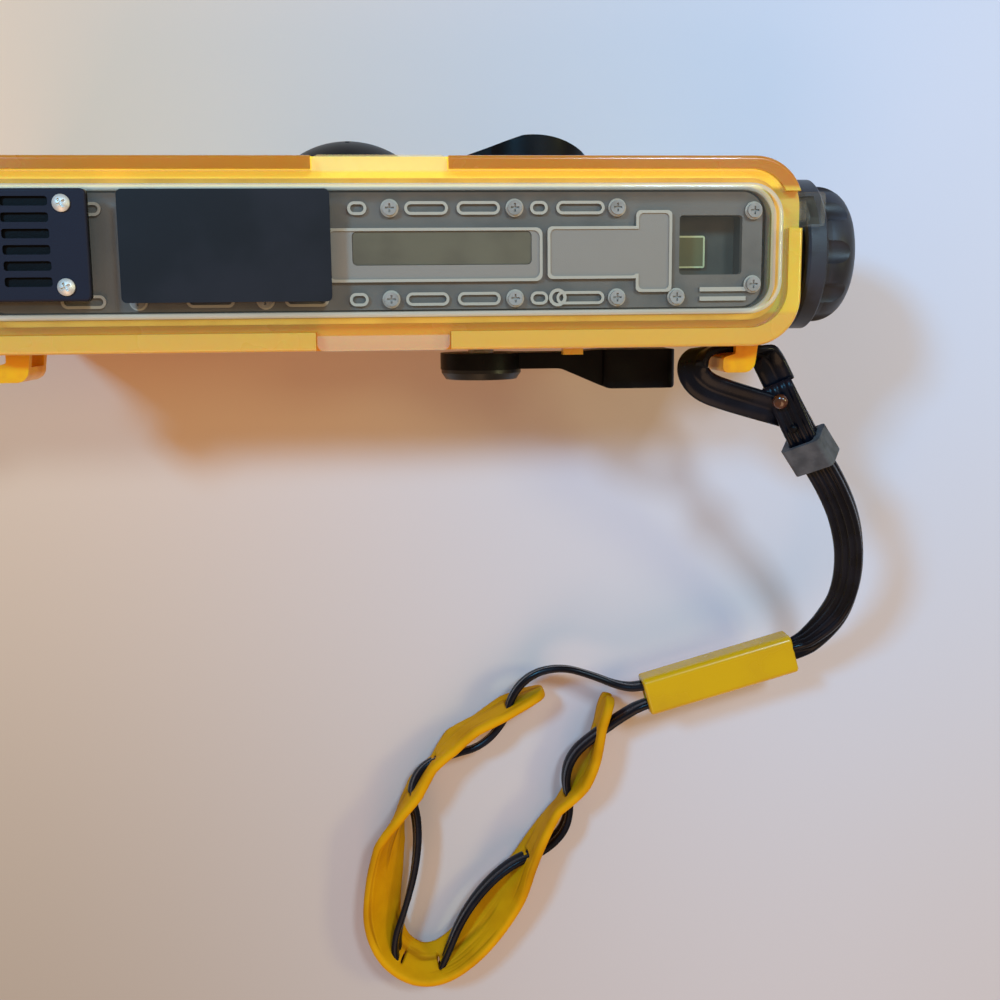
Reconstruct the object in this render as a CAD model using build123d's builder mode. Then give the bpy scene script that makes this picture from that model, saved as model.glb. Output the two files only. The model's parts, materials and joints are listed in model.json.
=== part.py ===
"""Underwater film camera, lying on its front with its clear back cover up.

Millimetres. +X runs along the camera towards the lock knob, +Y towards its top
controls and +Z towards its back. The origin is on the front rim, which is the
face that the camera lies on.
"""

from build123d import *
import os
from math import asin, atan2, cos, degrees, hypot, pi, radians, sin, sqrt, tan

os.makedirs("parts", exist_ok=True)

# Driving dimensions of the outside
BODY_LENGTH = 181.0
BODY_HEIGHT = 40.3
# The case and its lock knob sit a little below the middle of the cover
BODY_SHIFT = -0.6
COVER_TOP = 64.2
WALL = 2.6
HALF_X = BODY_LENGTH / 2
HALF_Y = BODY_HEIGHT / 2
RIM_STEP = 1.5
WALL_X = HALF_X - RIM_STEP
WALL_Y = HALF_Y - RIM_STEP
WALL_TOP, WALL_LOW = BODY_SHIFT + WALL_Y, BODY_SHIFT - WALL_Y
RIM_TOPWARD, RIM_DOWNWARD = BODY_SHIFT + HALF_Y, BODY_SHIFT - HALF_Y

# Levels up the depth of the camera
RIM_LOW = 55.0
LEDGE = 58.4
RIM_TOP = 61.5
GAP = 0.3

# The opening at the back, the cover in it and the window of the cover
OPENING_X, OPENING_Y, OPENING_R = 84.4, 13.4, 6.2
RECESS_X, RECESS_Y, RECESS_R = 87.4, 16.8, 8.4
PLATEAU_X, PLATEAU_Y, PLATEAU_R = 85.4, 13.7, 7.0
GRIP_HALF = 14.0

# The front opening, its pane and the plate behind it
PANE_X, PANE_Y = 79.0, 14.4
SIGHT_X, SIGHT_Y = 76.5, 12.0
PANE_LOW, PANE_HIGH = 0.8, 3.4
FRONT_WALL = 5.0

# The inner camera
CHASSIS_X, CHASSIS_Y = 83.0, 12.9
CHASSIS_LOW, CHASSIS_HIGH = 6.4, 56.4
LENS_X = 24.5
FINDER_X, FINDER_Y = 70.9, 1.0
FLASH_X = -67.0

# Axes of the controls
HINGE_X, HINGE_Z = -95.0, 62.5
KNOB_Y, KNOB_Z = BODY_SHIFT, 43.2
FOCUS_X, FOCUS_Z = -7.4, 32.0
RELEASE_X, RELEASE_Z = 34.6, 32.0
LEVER_X, LEVER_Z = 22.5, 34.0
TAKEUP_X, TAKEUP_Z = 52.3, 41.2
SHAFT_R = 3.0
RUNNING = 0.05
LUG_X, LUG_Z = 79.2, 48.0


def wall_inside(side):
    """The level of the inner face of the top wall, or of the bottom wall for -1."""
    return BODY_SHIFT + side * (WALL_Y - WALL)


def slab(half_x, half_y, radius, low, high, mode=Mode.ADD, centre=(0, 0)):
    """A block with round corners, upright between two levels."""
    with BuildSketch(Plane.XY.offset(low)) as outline:
        with Locations(centre):
            RectangleRounded(2 * half_x, 2 * half_y, radius)
    extrude(outline.sketch, amount=high - low, mode=mode)


def box(low, high, mode=Mode.ADD):
    """A plain block between two corners."""
    size = [b - a for a, b in zip(low, high)]
    with Locations(tuple((a + b) / 2 for a, b in zip(low, high))):
        Box(*size, mode=mode)


def disc(start, axis, radius, length, mode=Mode.ADD):
    """A cylinder that starts at a point and runs along an axis."""
    with BuildSketch(Plane(origin=start, z_dir=axis)) as circle:
        Circle(radius)
    extrude(circle.sketch, amount=length, mode=mode)


def ring(start, axis, outer, inner, length, mode=Mode.ADD):
    """A flat ring that starts at a point and runs along an axis."""
    with BuildSketch(Plane(origin=start, z_dir=axis)) as circles:
        Circle(outer)
        Circle(inner, mode=Mode.SUBTRACT)
    extrude(circles.sketch, amount=length, mode=mode)


def cap_rise(half, rise, x):
    """The height of a round cap above its rim, at a distance from its middle."""
    radius = (half ** 2 + rise ** 2) / (2 * rise)
    return rise - radius + sqrt(radius ** 2 - x ** 2)


def save(builder, name):
    """Names a finished piece and writes it."""
    builder.part.label = name
    export_step(builder.part, f"parts/{name}.step")


UP, TOPWARD, DOWNWARD, RIGHTWARD = (0, 0, 1), (0, 1, 0), (0, -1, 0), (1, 0, 0)

# The housing: a deep moulded shell with a stepped rim for the back cover
BOSS_R, BOSS_HIGH = 6.4, 1.9
SEAL_R, SEAL_WIRE = SHAFT_R + RUNNING + 0.7, 0.7
GASKET_X, GASKET_Y, GASKET_R, GASKET_WIDE = 85.5, 14.5, 6.6, 1.2
STOP_X, STOP_WIDE = 43.3, 4.6
with BuildPart() as housing_shell:
    slab(WALL_X, WALL_Y, 9.2, 0, RIM_LOW + 1, centre=(0, BODY_SHIFT))
    fillet(housing_shell.faces().sort_by(Axis.Z)[0].edges(), 3.0)
    slab(HALF_X, HALF_Y, 10.6, RIM_LOW, RIM_TOP, centre=(0, BODY_SHIFT))
    fillet(housing_shell.faces().sort_by(Axis.Z)[-1].edges(), 0.8)
    slab(RECESS_X, RECESS_Y, RECESS_R, LEDGE, RIM_TOP, Mode.SUBTRACT)
    slab(OPENING_X, OPENING_Y, OPENING_R, LEDGE - 5, LEDGE, Mode.SUBTRACT)
    slab(WALL_X - WALL, WALL_Y - WALL, 6.6, FRONT_WALL, LEDGE - 4.2, Mode.SUBTRACT, (0, BODY_SHIFT))
    slab(SIGHT_X, SIGHT_Y, 4.0, 0, FRONT_WALL, Mode.SUBTRACT)
    slab(PANE_X, PANE_Y, 5.0, 0, PANE_HIGH, Mode.SUBTRACT)
    # The groove of the gasket runs round the ledge
    with BuildSketch(Plane.XY.offset(LEDGE - 1.2)):
        RectangleRounded(2 * GASKET_X + GASKET_WIDE, 2 * GASKET_Y + GASKET_WIDE, GASKET_R)
        RectangleRounded(2 * GASKET_X - GASKET_WIDE, 2 * GASKET_Y - GASKET_WIDE,
                         GASKET_R - GASKET_WIDE, mode=Mode.SUBTRACT)
    extrude(amount=1.2, mode=Mode.SUBTRACT)
    # The rim is open where the cover's two grips and its claw pass over it
    box((-GRIP_HALF - GAP, RIM_DOWNWARD, LEDGE), (GRIP_HALF + GAP, RIM_TOPWARD, RIM_TOP), Mode.SUBTRACT)
    box((RECESS_X - 1, KNOB_Y + 5.0, LEDGE), (HALF_X, KNOB_Y + 12.8, RIM_TOP), Mode.SUBTRACT)
    # A raised boss carries each shaft through the wall
    for x, z, side in ((FOCUS_X, FOCUS_Z, 1), (RELEASE_X, RELEASE_Z, 1), (LEVER_X, LEVER_Z, -1)):
        away = (0, side, 0)
        inside = wall_inside(side)
        disc((x, inside, z), away, BOSS_R, WALL + (0.4 if side > 0 else BOSS_HIGH))
        disc((x, inside - side, z), away, SHAFT_R + RUNNING, WALL + 4, Mode.SUBTRACT)
        disc((x, inside, z), away, SEAL_R + SEAL_WIRE, 1.4, Mode.SUBTRACT)
    disc((WALL_X - 1, KNOB_Y, KNOB_Z), RIGHTWARD, 9.0, 1 + 2.6)
    disc((WALL_X - WALL - 1, KNOB_Y, KNOB_Z), RIGHTWARD, SHAFT_R + RUNNING, WALL + 5, Mode.SUBTRACT)
    disc((WALL_X - WALL, KNOB_Y, KNOB_Z), RIGHTWARD, SEAL_R + SEAL_WIRE, 1.4, Mode.SUBTRACT)
    # The stop that the film lever rests against
    stop_left, stop_right = STOP_X - STOP_WIDE / 2, STOP_X + STOP_WIDE / 2
    box((stop_left, WALL_LOW - 3.6, LEVER_Z + 4.9), (stop_right, WALL_LOW, LEVER_Z + 8.4))
save(housing_shell, "housing_shell")

# The gasket lies in its groove and stands level with the ledge
with BuildPart() as cover_gasket:
    with BuildSketch(Plane.XY.offset(LEDGE - 1.2)):
        RectangleRounded(2 * GASKET_X + GASKET_WIDE, 2 * GASKET_Y + GASKET_WIDE, GASKET_R)
        RectangleRounded(2 * GASKET_X - GASKET_WIDE, 2 * GASKET_Y - GASKET_WIDE,
                         GASKET_R - GASKET_WIDE, mode=Mode.SUBTRACT)
    extrude(amount=1.4)
save(cover_gasket, "cover_gasket")

# Four seals round the shafts, in the housing's glands
with BuildPart() as shaft_seals:
    for x, z, side in ((FOCUS_X, FOCUS_Z, 1), (RELEASE_X, RELEASE_Z, 1), (LEVER_X, LEVER_Z, -1)):
        ring((x, wall_inside(side), z), (0, side, 0), SEAL_R + SEAL_WIRE, SEAL_R - SEAL_WIRE, 2 * SEAL_WIRE)
    ring((WALL_X - WALL, KNOB_Y, KNOB_Z), RIGHTWARD, SEAL_R + SEAL_WIRE, SEAL_R - SEAL_WIRE, 2 * SEAL_WIRE)
save(shaft_seals, "shaft_seals")

# The front pane and the dark plate behind it, with its three windows
with BuildPart() as front_window:
    slab(PANE_X - 0.1, PANE_Y - 0.1, 4.9, PANE_LOW, PANE_HIGH)
    fillet(front_window.faces().sort_by(Axis.Z)[0].edges(), 0.4)
save(front_window, "front_window")

LENS_WINDOW_R = 7.6
FLASH_X_HALF, FLASH_Y_HALF = 12.5, 8.0
FINDER_X_HALF, FINDER_Y_HALF = 5.6, 4.6
MASK_LOW = CHASSIS_LOW - 1.0
with BuildPart() as front_mask:
    slab(CHASSIS_X - 1.5, CHASSIS_Y, 4.0, MASK_LOW, CHASSIS_LOW)
    disc((LENS_X, 0, MASK_LOW), UP, LENS_WINDOW_R, 1, Mode.SUBTRACT)
    slab(FLASH_X_HALF - 0.5, FLASH_Y_HALF - 0.5, 1.5, MASK_LOW, CHASSIS_LOW, Mode.SUBTRACT, (FLASH_X, 0))
    slab(FINDER_X_HALF - 0.6, FINDER_Y_HALF - 0.6, 1.0, MASK_LOW, CHASSIS_LOW, Mode.SUBTRACT,
         (FINDER_X, FINDER_Y))
    # A raised ring frames the lens
    ring((LENS_X, 0, MASK_LOW - 0.8), UP, LENS_WINDOW_R + 1.6, LENS_WINDOW_R, 0.9)
save(front_mask, "front_mask")

# The inner camera: one moulding with a bay for each of its works
BARREL_R = 9.0
CARTRIDGE_HALF, CARTRIDGE_Y = 36.0, 11.6
LOBE_R, LOBE_Z = 9.6, TAKEUP_Z
CARTRIDGE_X = TAKEUP_X - CARTRIDGE_HALF + LOBE_R
BATTERY_X, BATTERY_Z, BATTERY_R, BATTERY_LONG = -42.6, 46.6, 7.2, 49.0
BOARD_LOW, BOARD_HIGH = 33.6, 35.0
CAPACITOR_X, CAPACITOR_Z, CAPACITOR_R, CAPACITOR_LONG = -44.0, 24.5, 5.5, 26.0
with BuildPart() as camera_chassis:
    slab(CHASSIS_X, CHASSIS_Y, 4.6, CHASSIS_LOW, CHASSIS_HIGH)
    # The film chamber opens at the back, the light box joins it to the lens
    slab(CARTRIDGE_HALF + 0.8, CARTRIDGE_Y + 0.3, 1.0, LOBE_Z - LOBE_R - 0.6, CHASSIS_HIGH, Mode.SUBTRACT,
         (CARTRIDGE_X, 0))
    slab(7.5, 6.0, 0.6, 28.0, LOBE_Z, Mode.SUBTRACT, (LENS_X, 0))
    disc((LENS_X, 0, CHASSIS_LOW), UP, BARREL_R + 0.08, 22.0, Mode.SUBTRACT)
    # The flash looks out at the front, and its works fill the left end
    slab(FLASH_X_HALF + 0.1, FLASH_Y_HALF + 0.1, 1.5, CHASSIS_LOW, 22.0, Mode.SUBTRACT, (FLASH_X, 0))
    slab(31.0, 11.2, 1.5, BOARD_LOW, CHASSIS_HIGH, Mode.SUBTRACT, (-46.5, 0))
    slab(19.0, 11.2, 1.5, 15.0, BOARD_LOW, Mode.SUBTRACT, (-33.0, 0))
    # The finder's tunnel, with a wider well at the back
    slab(FINDER_X_HALF, FINDER_Y_HALF, 0.8, CHASSIS_LOW, CHASSIS_HIGH, Mode.SUBTRACT, (FINDER_X, FINDER_Y))
    slab(7.2, 6.6, 0.8, 50.0, CHASSIS_HIGH, Mode.SUBTRACT, (FINDER_X, FINDER_Y))
    # The slot of the lens's focusing arm, and the hole of the take-up spindle
    box((LENS_X - 2.4, 8.0, 20.0), (LENS_X + 2.4, CHASSIS_Y, 28.0), Mode.SUBTRACT)
    disc((TAKEUP_X, -CHASSIS_Y, TAKEUP_Z), TOPWARD, 1.6, 2.0, Mode.SUBTRACT)
save(camera_chassis, "camera_chassis")

# The film cartridge: two round chambers joined by a thin bridge
with BuildPart() as film_cartridge:
    with BuildSketch(Plane.XZ.offset(-CARTRIDGE_Y)):
        lobe_off = CARTRIDGE_HALF - LOBE_R
        with Locations((CARTRIDGE_X - lobe_off, LOBE_Z), (CARTRIDGE_X + lobe_off, LOBE_Z)):
            Circle(LOBE_R)
        with Locations((CARTRIDGE_X, LOBE_Z + LOBE_R - 2.4)):
            Rectangle(2 * lobe_off, 4.8)
    extrude(amount=2 * CARTRIDGE_Y)
    box((LENS_X - 7, -6, LOBE_Z), (LENS_X + 7, 6, LOBE_Z + LOBE_R - 3.6), Mode.SUBTRACT)
    disc((TAKEUP_X, -CARTRIDGE_Y, TAKEUP_Z), TOPWARD, 3.4, 3.0, Mode.SUBTRACT)
save(film_cartridge, "film_cartridge")

# Battery, with its spring contacts at both ends
with BuildPart() as battery:
    disc((BATTERY_X - BATTERY_LONG / 2, 0, BATTERY_Z), RIGHTWARD, BATTERY_R, BATTERY_LONG)
    fillet(battery.faces().sort_by(Axis.X)[0].edges(), 0.8)
    fillet(battery.faces().sort_by(Axis.X)[-1].edges(), 0.8)
    disc((BATTERY_X + BATTERY_LONG / 2, 0, BATTERY_Z), RIGHTWARD, 2.6, 1.2)
save(battery, "battery")

with BuildPart() as battery_contacts:
    for x in (BATTERY_X - BATTERY_LONG / 2 - 1.0, BATTERY_X + BATTERY_LONG / 2 + 1.2):
        with BuildSketch(Plane(origin=(x, 0, BATTERY_Z), x_dir=TOPWARD, z_dir=RIGHTWARD)):
            RectangleRounded(10, 11, 1.5)
            with Locations((0, -8.0)):
                Rectangle(4, 6)
        extrude(amount=0.5)
save(battery_contacts, "battery_contacts")

# The flash: reflector, tube, front lens, capacitor and circuit board
REFLECTOR_LOW, REFLECTOR_HIGH = 9.0, 21.0
with BuildPart() as flash_reflector:
    for inset, mode in ((0.0, Mode.ADD), (0.7, Mode.SUBTRACT)):
        with BuildSketch(Plane.XY.offset(REFLECTOR_LOW)):
            with Locations((FLASH_X, 0)):
                Rectangle(2 * (FLASH_X_HALF - 0.3 - inset), 2 * (FLASH_Y_HALF - 0.3 - inset))
        with BuildSketch(Plane.XY.offset(REFLECTOR_HIGH - 2 * inset)):
            with Locations((FLASH_X, 0)):
                Rectangle(2 * (FLASH_X_HALF - 2.5 - inset), 2 * (2.8 - inset))
        loft(mode=mode)
save(flash_reflector, "flash_reflector")

with BuildPart() as flash_tube:
    disc((FLASH_X - 8.6, 0, 15.5), RIGHTWARD, 1.1, 17.2)
save(flash_tube, "flash_tube")

with BuildPart() as flash_lens:
    slab(FLASH_X_HALF - 0.2, FLASH_Y_HALF - 0.2, 1.4, CHASSIS_LOW, CHASSIS_LOW + 1.6, centre=(FLASH_X, 0))
    with GridLocations(2.0, 0, 11, 1):
        with Locations((FLASH_X, 0, CHASSIS_LOW + 1.6)):
            Box(0.7, 2 * FLASH_Y_HALF - 3, 0.6)
save(flash_lens, "flash_lens")

with BuildPart() as flash_capacitor:
    disc((CAPACITOR_X, 0, CAPACITOR_Z), RIGHTWARD, CAPACITOR_R, CAPACITOR_LONG)
    fillet(flash_capacitor.faces().sort_by(Axis.X)[-1].edges(), 0.6)
save(flash_capacitor, "flash_capacitor")

with BuildPart() as circuit_board:
    slab(30.6, 10.8, 1.0, BOARD_LOW, BOARD_HIGH, centre=(-46.5, 0))
    with GridLocations(9.0, 9.0, 5, 2):
        with Locations((-52.0, 0, BOARD_HIGH + 0.9)):
            Box(4.2, 3.0, 1.8)
save(circuit_board, "circuit_board")

# The lens slides in the chassis as the focus dial turns
BARREL_LOW, BARREL_HIGH = 8.6, 24.0
ARM_TOP = FOCUS_Z - 5.4 - 0.2
ARM_IN, ARM_OUT = 13.3, 15.0
with BuildPart() as lens_barrel:
    disc((LENS_X, 0, BARREL_LOW), UP, BARREL_R, BARREL_HIGH - BARREL_LOW)
    disc((LENS_X, 0, BARREL_LOW), UP, 6.6, 2.4, Mode.SUBTRACT)
    disc((LENS_X, 0, BARREL_LOW), UP, 5.2, BARREL_HIGH - BARREL_LOW, Mode.SUBTRACT)
    disc((LENS_X, 0, BARREL_HIGH - 2.2), UP, 5.8, 2.2, Mode.SUBTRACT)
    # The arm reaches up through the chassis and across to the focus cam
    box((LENS_X - 2, 7.0, 22.0), (LENS_X + 2, ARM_OUT, ARM_TOP))
    box((FOCUS_X - 3, ARM_IN, ARM_TOP - 2.4), (LENS_X + 2, ARM_OUT, ARM_TOP))
    disc((LENS_X, 0, BARREL_LOW), UP, 5.2, BARREL_HIGH - BARREL_LOW, Mode.SUBTRACT)
save(lens_barrel, "lens_barrel")

ELEMENT_R, ELEMENT_RISE = 6.5, 1.3
ELEMENT_RIM, ELEMENT_HIGH = BARREL_LOW + 1.4, BARREL_LOW + 2.4
with BuildPart() as lens_front_element:
    with BuildSketch(Plane.XZ):
        with BuildLine():
            edge, mid = LENS_X + ELEMENT_R, LENS_X + ELEMENT_R / 2
            Polyline((LENS_X, ELEMENT_HIGH), (edge, ELEMENT_HIGH), (edge, ELEMENT_RIM))
            bulge = cap_rise(ELEMENT_R, ELEMENT_RISE, ELEMENT_R / 2)
            ThreePointArc((edge, ELEMENT_RIM), (mid, ELEMENT_RIM - bulge), (LENS_X, ELEMENT_RIM - ELEMENT_RISE))
            Line((LENS_X, ELEMENT_RIM - ELEMENT_RISE), (LENS_X, ELEMENT_HIGH))
        make_face()
    revolve(axis=Axis((LENS_X, 0, 0), UP))
save(lens_front_element, "lens_front_element")

with BuildPart() as lens_rear_element:
    disc((LENS_X, 0, BARREL_HIGH - 2.2), UP, 5.7, 2.0)
save(lens_rear_element, "lens_rear_element")

with BuildPart() as shutter_plate:
    slab(7.4, 5.9, 0.6, 28.6, 29.8, centre=(LENS_X, 0))
    disc((LENS_X, 0, 28.6), UP, 2.4, 1.2, Mode.SUBTRACT)
save(shutter_plate, "shutter_plate")

# The finder: an objective at the front and an eyepiece in its well
with BuildPart() as finder_objective:
    slab(FINDER_X_HALF, FINDER_Y_HALF, 0.8, CHASSIS_LOW + 0.4, CHASSIS_LOW + 3.0, centre=(FINDER_X, FINDER_Y))
    disc((FINDER_X, FINDER_Y, CHASSIS_LOW + 2.2), UP, 4.0, 0.8, Mode.SUBTRACT)
save(finder_objective, "finder_objective")

with BuildPart() as finder_eyepiece:
    slab(7.1, 6.5, 0.7, 50.0, 51.4, centre=(FINDER_X, FINDER_Y))
    slab(3.6, 3.5, 0.5, 51.4, 52.6, centre=(FINDER_X - 3.3, FINDER_Y - 1.2))
save(finder_eyepiece, "finder_eyepiece")

# The strap lugs: two arms hold a bar clear of the wall
LUG_GAP = 4.4
LUG_BAR = 3.2
LUG_OPEN = 4.6
LUG_ARM = 2.0


def strap_lug(side):
    """The side profile of the hook, cut through for the strap."""
    x = side * LUG_X
    low, high = LUG_Z - LUG_OPEN - LUG_ARM, LUG_Z + LUG_OPEN + LUG_ARM
    outer = WALL_LOW - LUG_GAP - LUG_BAR
    with BuildPart() as lug:
        with BuildSketch(Plane.XY.offset(low)):
            with BuildLine():
                FilletPolyline((x + 4.2, WALL_LOW), (x + 3.2, outer), (x - 3.8, outer), (x - 3.8, outer + 3.4),
                               (x - 1.0, outer + 4.2), (x - 1.0, WALL_LOW), radius=[2.6, 1.2, 0.8, 0.6])
                Line((x - 1.0, WALL_LOW), (x + 4.2, WALL_LOW))
            make_face()
        extrude(amount=high - low)
        box((x - 8, WALL_LOW - LUG_GAP, LUG_Z - LUG_OPEN),
            (x + 8, WALL_LOW + 1, LUG_Z + LUG_OPEN), Mode.SUBTRACT)
    return lug


save(strap_lug(-1), "strap_lug_left")
save(strap_lug(1), "strap_lug_right")

# The hinge at the left end: a bracket and pin on the housing
KNUCKLE_R, PIN_R = 3.2, 1.5
BRACKET_Y, CENTRE_Y = 11.0, 5.2
with BuildPart() as hinge_bracket:
    box((-HALF_X - 2.0, -BRACKET_Y, 48.0), (-HALF_X, BRACKET_Y, 61.0))
    box((-HALF_X, -BRACKET_Y, 48.0), (-WALL_X, BRACKET_Y, RIM_LOW))
    disc((HINGE_X, -BRACKET_Y, HINGE_Z), TOPWARD, KNUCKLE_R, 2 * BRACKET_Y)
    box((HINGE_X - KNUCKLE_R - 1, -CENTRE_Y - GAP, 58.8), (-HALF_X, CENTRE_Y + GAP, 67.0), Mode.SUBTRACT)
    disc((HINGE_X, -BRACKET_Y, HINGE_Z), TOPWARD, PIN_R, 2 * BRACKET_Y, Mode.SUBTRACT)
    fillet(hinge_bracket.edges().filter_by(Axis.X).group_by(Axis.Z)[0], 2.0)
save(hinge_bracket, "hinge_bracket")

with BuildPart() as hinge_pin:
    disc((HINGE_X, -BRACKET_Y - 0.8, HINGE_Z), TOPWARD, PIN_R, 2 * BRACKET_Y + 1.6)
save(hinge_pin, "hinge_pin")

# The clear back cover: a flange in the rim, a raised window and two grips
COVER_LOW = LEDGE + 0.25
COVER_X, COVER_Y = RECESS_X - GAP, RECESS_Y - GAP
SKIN = 2.4
CLAW_R, CLAW_THICK, CLAW_ANGLE, CLAW_HALF = 12.3, 1.5, 44.0, 11.0
COLLAR_LOW, COLLAR_R = HALF_X + 2.0, 16.8


def sector(radius, thick, middle, half):
    """An arc band round the knob's axis, between two angles from +Z towards +Y."""
    with BuildSketch(Plane(origin=(0, KNOB_Y, KNOB_Z), x_dir=TOPWARD, z_dir=RIGHTWARD)) as band:
        with BuildLine():
            turns = [radians(middle - half), radians(middle), radians(middle + half)]
            inner = [(radius * sin(t), radius * cos(t)) for t in turns]
            outer = [((radius + thick) * sin(t), (radius + thick) * cos(t)) for t in turns]
            ThreePointArc(*inner)
            Line(inner[2], outer[2])
            ThreePointArc(*outer)
            Line(outer[0], inner[0])
        make_face()
    return band.sketch


with BuildPart() as cover_window:
    slab(COVER_X, COVER_Y, RECESS_R - GAP, COVER_LOW, RIM_TOP)
    box((-GRIP_HALF, RIM_DOWNWARD, COVER_LOW), (GRIP_HALF, RIM_TOPWARD, RIM_TOP))
    grip_corners = cover_window.edges().filter_by(Axis.Z)
    fillet(grip_corners.filter_by(lambda e: abs(e.center().Y - BODY_SHIFT) > HALF_Y - 0.1), 1.5)
    slab(PLATEAU_X, PLATEAU_Y, PLATEAU_R, RIM_TOP - 1, COVER_TOP)
    fillet(cover_window.faces().sort_by(Axis.Z)[-1].edges(), 0.9)
    slab(PLATEAU_X - SKIN, PLATEAU_Y - 1.1, PLATEAU_R - 1.5, COVER_LOW, COVER_TOP - SKIN, Mode.SUBTRACT)
    # The claw passes over the rim and down beside the end wall
    box((COVER_X - 1, KNOB_Y + 5.3, COVER_LOW), (95.2, KNOB_Y + 12.5, RIM_TOP))
    fillet(cover_window.edges().filter_by(Axis.Z).filter_by(lambda e: e.center().X > 95.0), 0.8)
    disc((COLLAR_LOW - 0.3, KNOB_Y, KNOB_Z), RIGHTWARD, COLLAR_R + 0.35, 4.0, Mode.SUBTRACT)
    leg_low = KNOB_Z + CLAW_R * cos(radians(CLAW_ANGLE)) + 0.6
    box((HALF_X + 0.4, KNOB_Y + 6.9, leg_low), (HALF_X + 1.5, KNOB_Y + 10.9, COVER_LOW))
    leg = sector(CLAW_R, CLAW_THICK, CLAW_ANGLE, CLAW_HALF)
    extrude(leg.moved(Location((HALF_X + 0.4, 0, 0))), amount=3.4)
save(cover_window, "cover_window")

# The grey door behind the window: it closes the film chamber and carries the
# pad that holds the cartridge down
DOOR_LOW, DOOR_FACE, DOOR_RIB = 57.0, 58.9, 60.6
ROW_TOP, ROW_LOW, ROW_HALF = 8.9, -10.0, 1.4
FILM_X, FILM_Y, FILM_AT = 18.9, 3.4, (12.8, 0.6)
SCREW_TOP_X = (-50.8, -24.6, 1.8, 28.2, 50.2)
SCREW_LOW_X = (-50.8, -24.6, 1.8, 28.2, 50.2, 63.2)
SCREW_END = ((80.0, 8.2), (80.0, -7.4))
STADIUMS = ((9.5, 4.6), (20.5, 4.6), (33.4, 1.9), (42.3, 5.2),
            (-5.0, 2.0), (-36.0, 5.0), (-16.0, 4.6), (-62.0, 4.6))
SCREW_BORE = 1.0
screw_places = [(x, ROW_TOP) for x in SCREW_TOP_X] + [(x, ROW_LOW) for x in SCREW_LOW_X] + list(SCREW_END)
BED, PAD = (22.9, 5.6, 1.4, (11.2, -0.8)), (9.9, 5.5, 1.0, (45.1, -0.5))
PAD_END = (3.9, 8.6, 1.0, (58.2, -0.3))
LIP, LIP_HIGH = 0.6, 0.4
ROUNDS = ((-62.4, 5.0, 2.2), (-65.4, -2.0, 2.0), (37.4, -9.9, 1.9))


def outlines(inset):
    """The outlines of the raised bed and of the T-shaped pad, brought in by an inset."""
    for half_x, half_y, radius, centre in (BED, PAD, PAD_END):
        with Locations(centre):
            RectangleRounded(2 * (half_x - inset), 2 * (half_y - inset), radius)
    with Locations((54.6, -0.3)):
        Rectangle(4.0, 2 * (PAD[1] - inset) - 0.4)


with BuildPart() as inner_door:
    slab(82.2, 12.2, 4.6, DOOR_LOW, DOOR_FACE)
    # The raised bed of the film window and the T-shaped pad beside it, each with a lip
    with BuildSketch(Plane.XY.offset(DOOR_FACE)):
        outlines(0)
    extrude(amount=0.8)
    with BuildSketch(Plane.XY.offset(DOOR_FACE + 0.8)):
        outlines(0)
    extrude(amount=LIP_HIGH)
    with BuildSketch(Plane.XY.offset(DOOR_FACE + 0.8)):
        outlines(LIP)
    extrude(amount=LIP_HIGH, mode=Mode.SUBTRACT)
    # Small round bosses, and two grip bars below the finder
    for x, y, radius in ROUNDS:
        ring((x, y, DOOR_FACE), UP, radius, radius - 0.7, 0.9)
    for low in (-10.9, -8.9):
        box((68.4, low, DOOR_FACE), (78.6, low + 0.9, DOOR_FACE + 0.9))
    # Raised bosses for the screws, and stadium ribs between them
    with BuildSketch(Plane.XY.offset(DOOR_FACE)):
        with Locations(*screw_places):
            Circle(1.9)
    extrude(amount=0.9)
    with BuildSketch(Plane.XY.offset(DOOR_FACE)):
        for row in (ROW_TOP, ROW_LOW):
            for x, half in STADIUMS:
                with Locations((x, row)):
                    SlotOverall(2 * half, 2 * ROW_HALF)
                    SlotOverall(2 * half - 1.2, 2 * ROW_HALF - 1.2, mode=Mode.SUBTRACT)
    extrude(amount=0.9)
    # Openings for the film window, the finder and the screws
    slab(FILM_X - 0.4, FILM_Y - 0.4, 0.8, DOOR_LOW, DOOR_FACE + 1, Mode.SUBTRACT, FILM_AT)
    slab(FILM_X + 0.1, FILM_Y + 0.1, 1.0, DOOR_FACE - 0.6, DOOR_FACE + 1, Mode.SUBTRACT, FILM_AT)
    slab(6.9, 6.3, 0.8, DOOR_LOW, DOOR_FACE, Mode.SUBTRACT, (FINDER_X, FINDER_Y))
    with BuildSketch(Plane.XY.offset(DOOR_LOW)):
        with Locations(*screw_places):
            Circle(SCREW_BORE)
    extrude(amount=3, mode=Mode.SUBTRACT)
save(inner_door, "inner_door")

with BuildPart() as film_window:
    slab(FILM_X, FILM_Y, 0.9, DOOR_FACE - 0.6, DOOR_FACE + 0.5, centre=FILM_AT)
save(film_window, "film_window")

HEAD_LOW = DOOR_FACE + 0.9
with BuildPart() as door_screws:
    with BuildSketch(Plane.XY.offset(DOOR_LOW)):
        with Locations(*screw_places):
            Circle(SCREW_BORE)
    extrude(amount=HEAD_LOW - DOOR_LOW)
    with BuildSketch(Plane.XY.offset(HEAD_LOW)):
        with Locations(*screw_places):
            Circle(1.5)
    extrude(amount=1.0)
    with BuildSketch(Plane.XY.offset(HEAD_LOW + 0.5)):
        with Locations(*screw_places):
            Rectangle(1.8, 0.4)
            Rectangle(0.4, 1.8)
    extrude(amount=0.5, mode=Mode.SUBTRACT)
save(door_screws, "door_screws")

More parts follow.
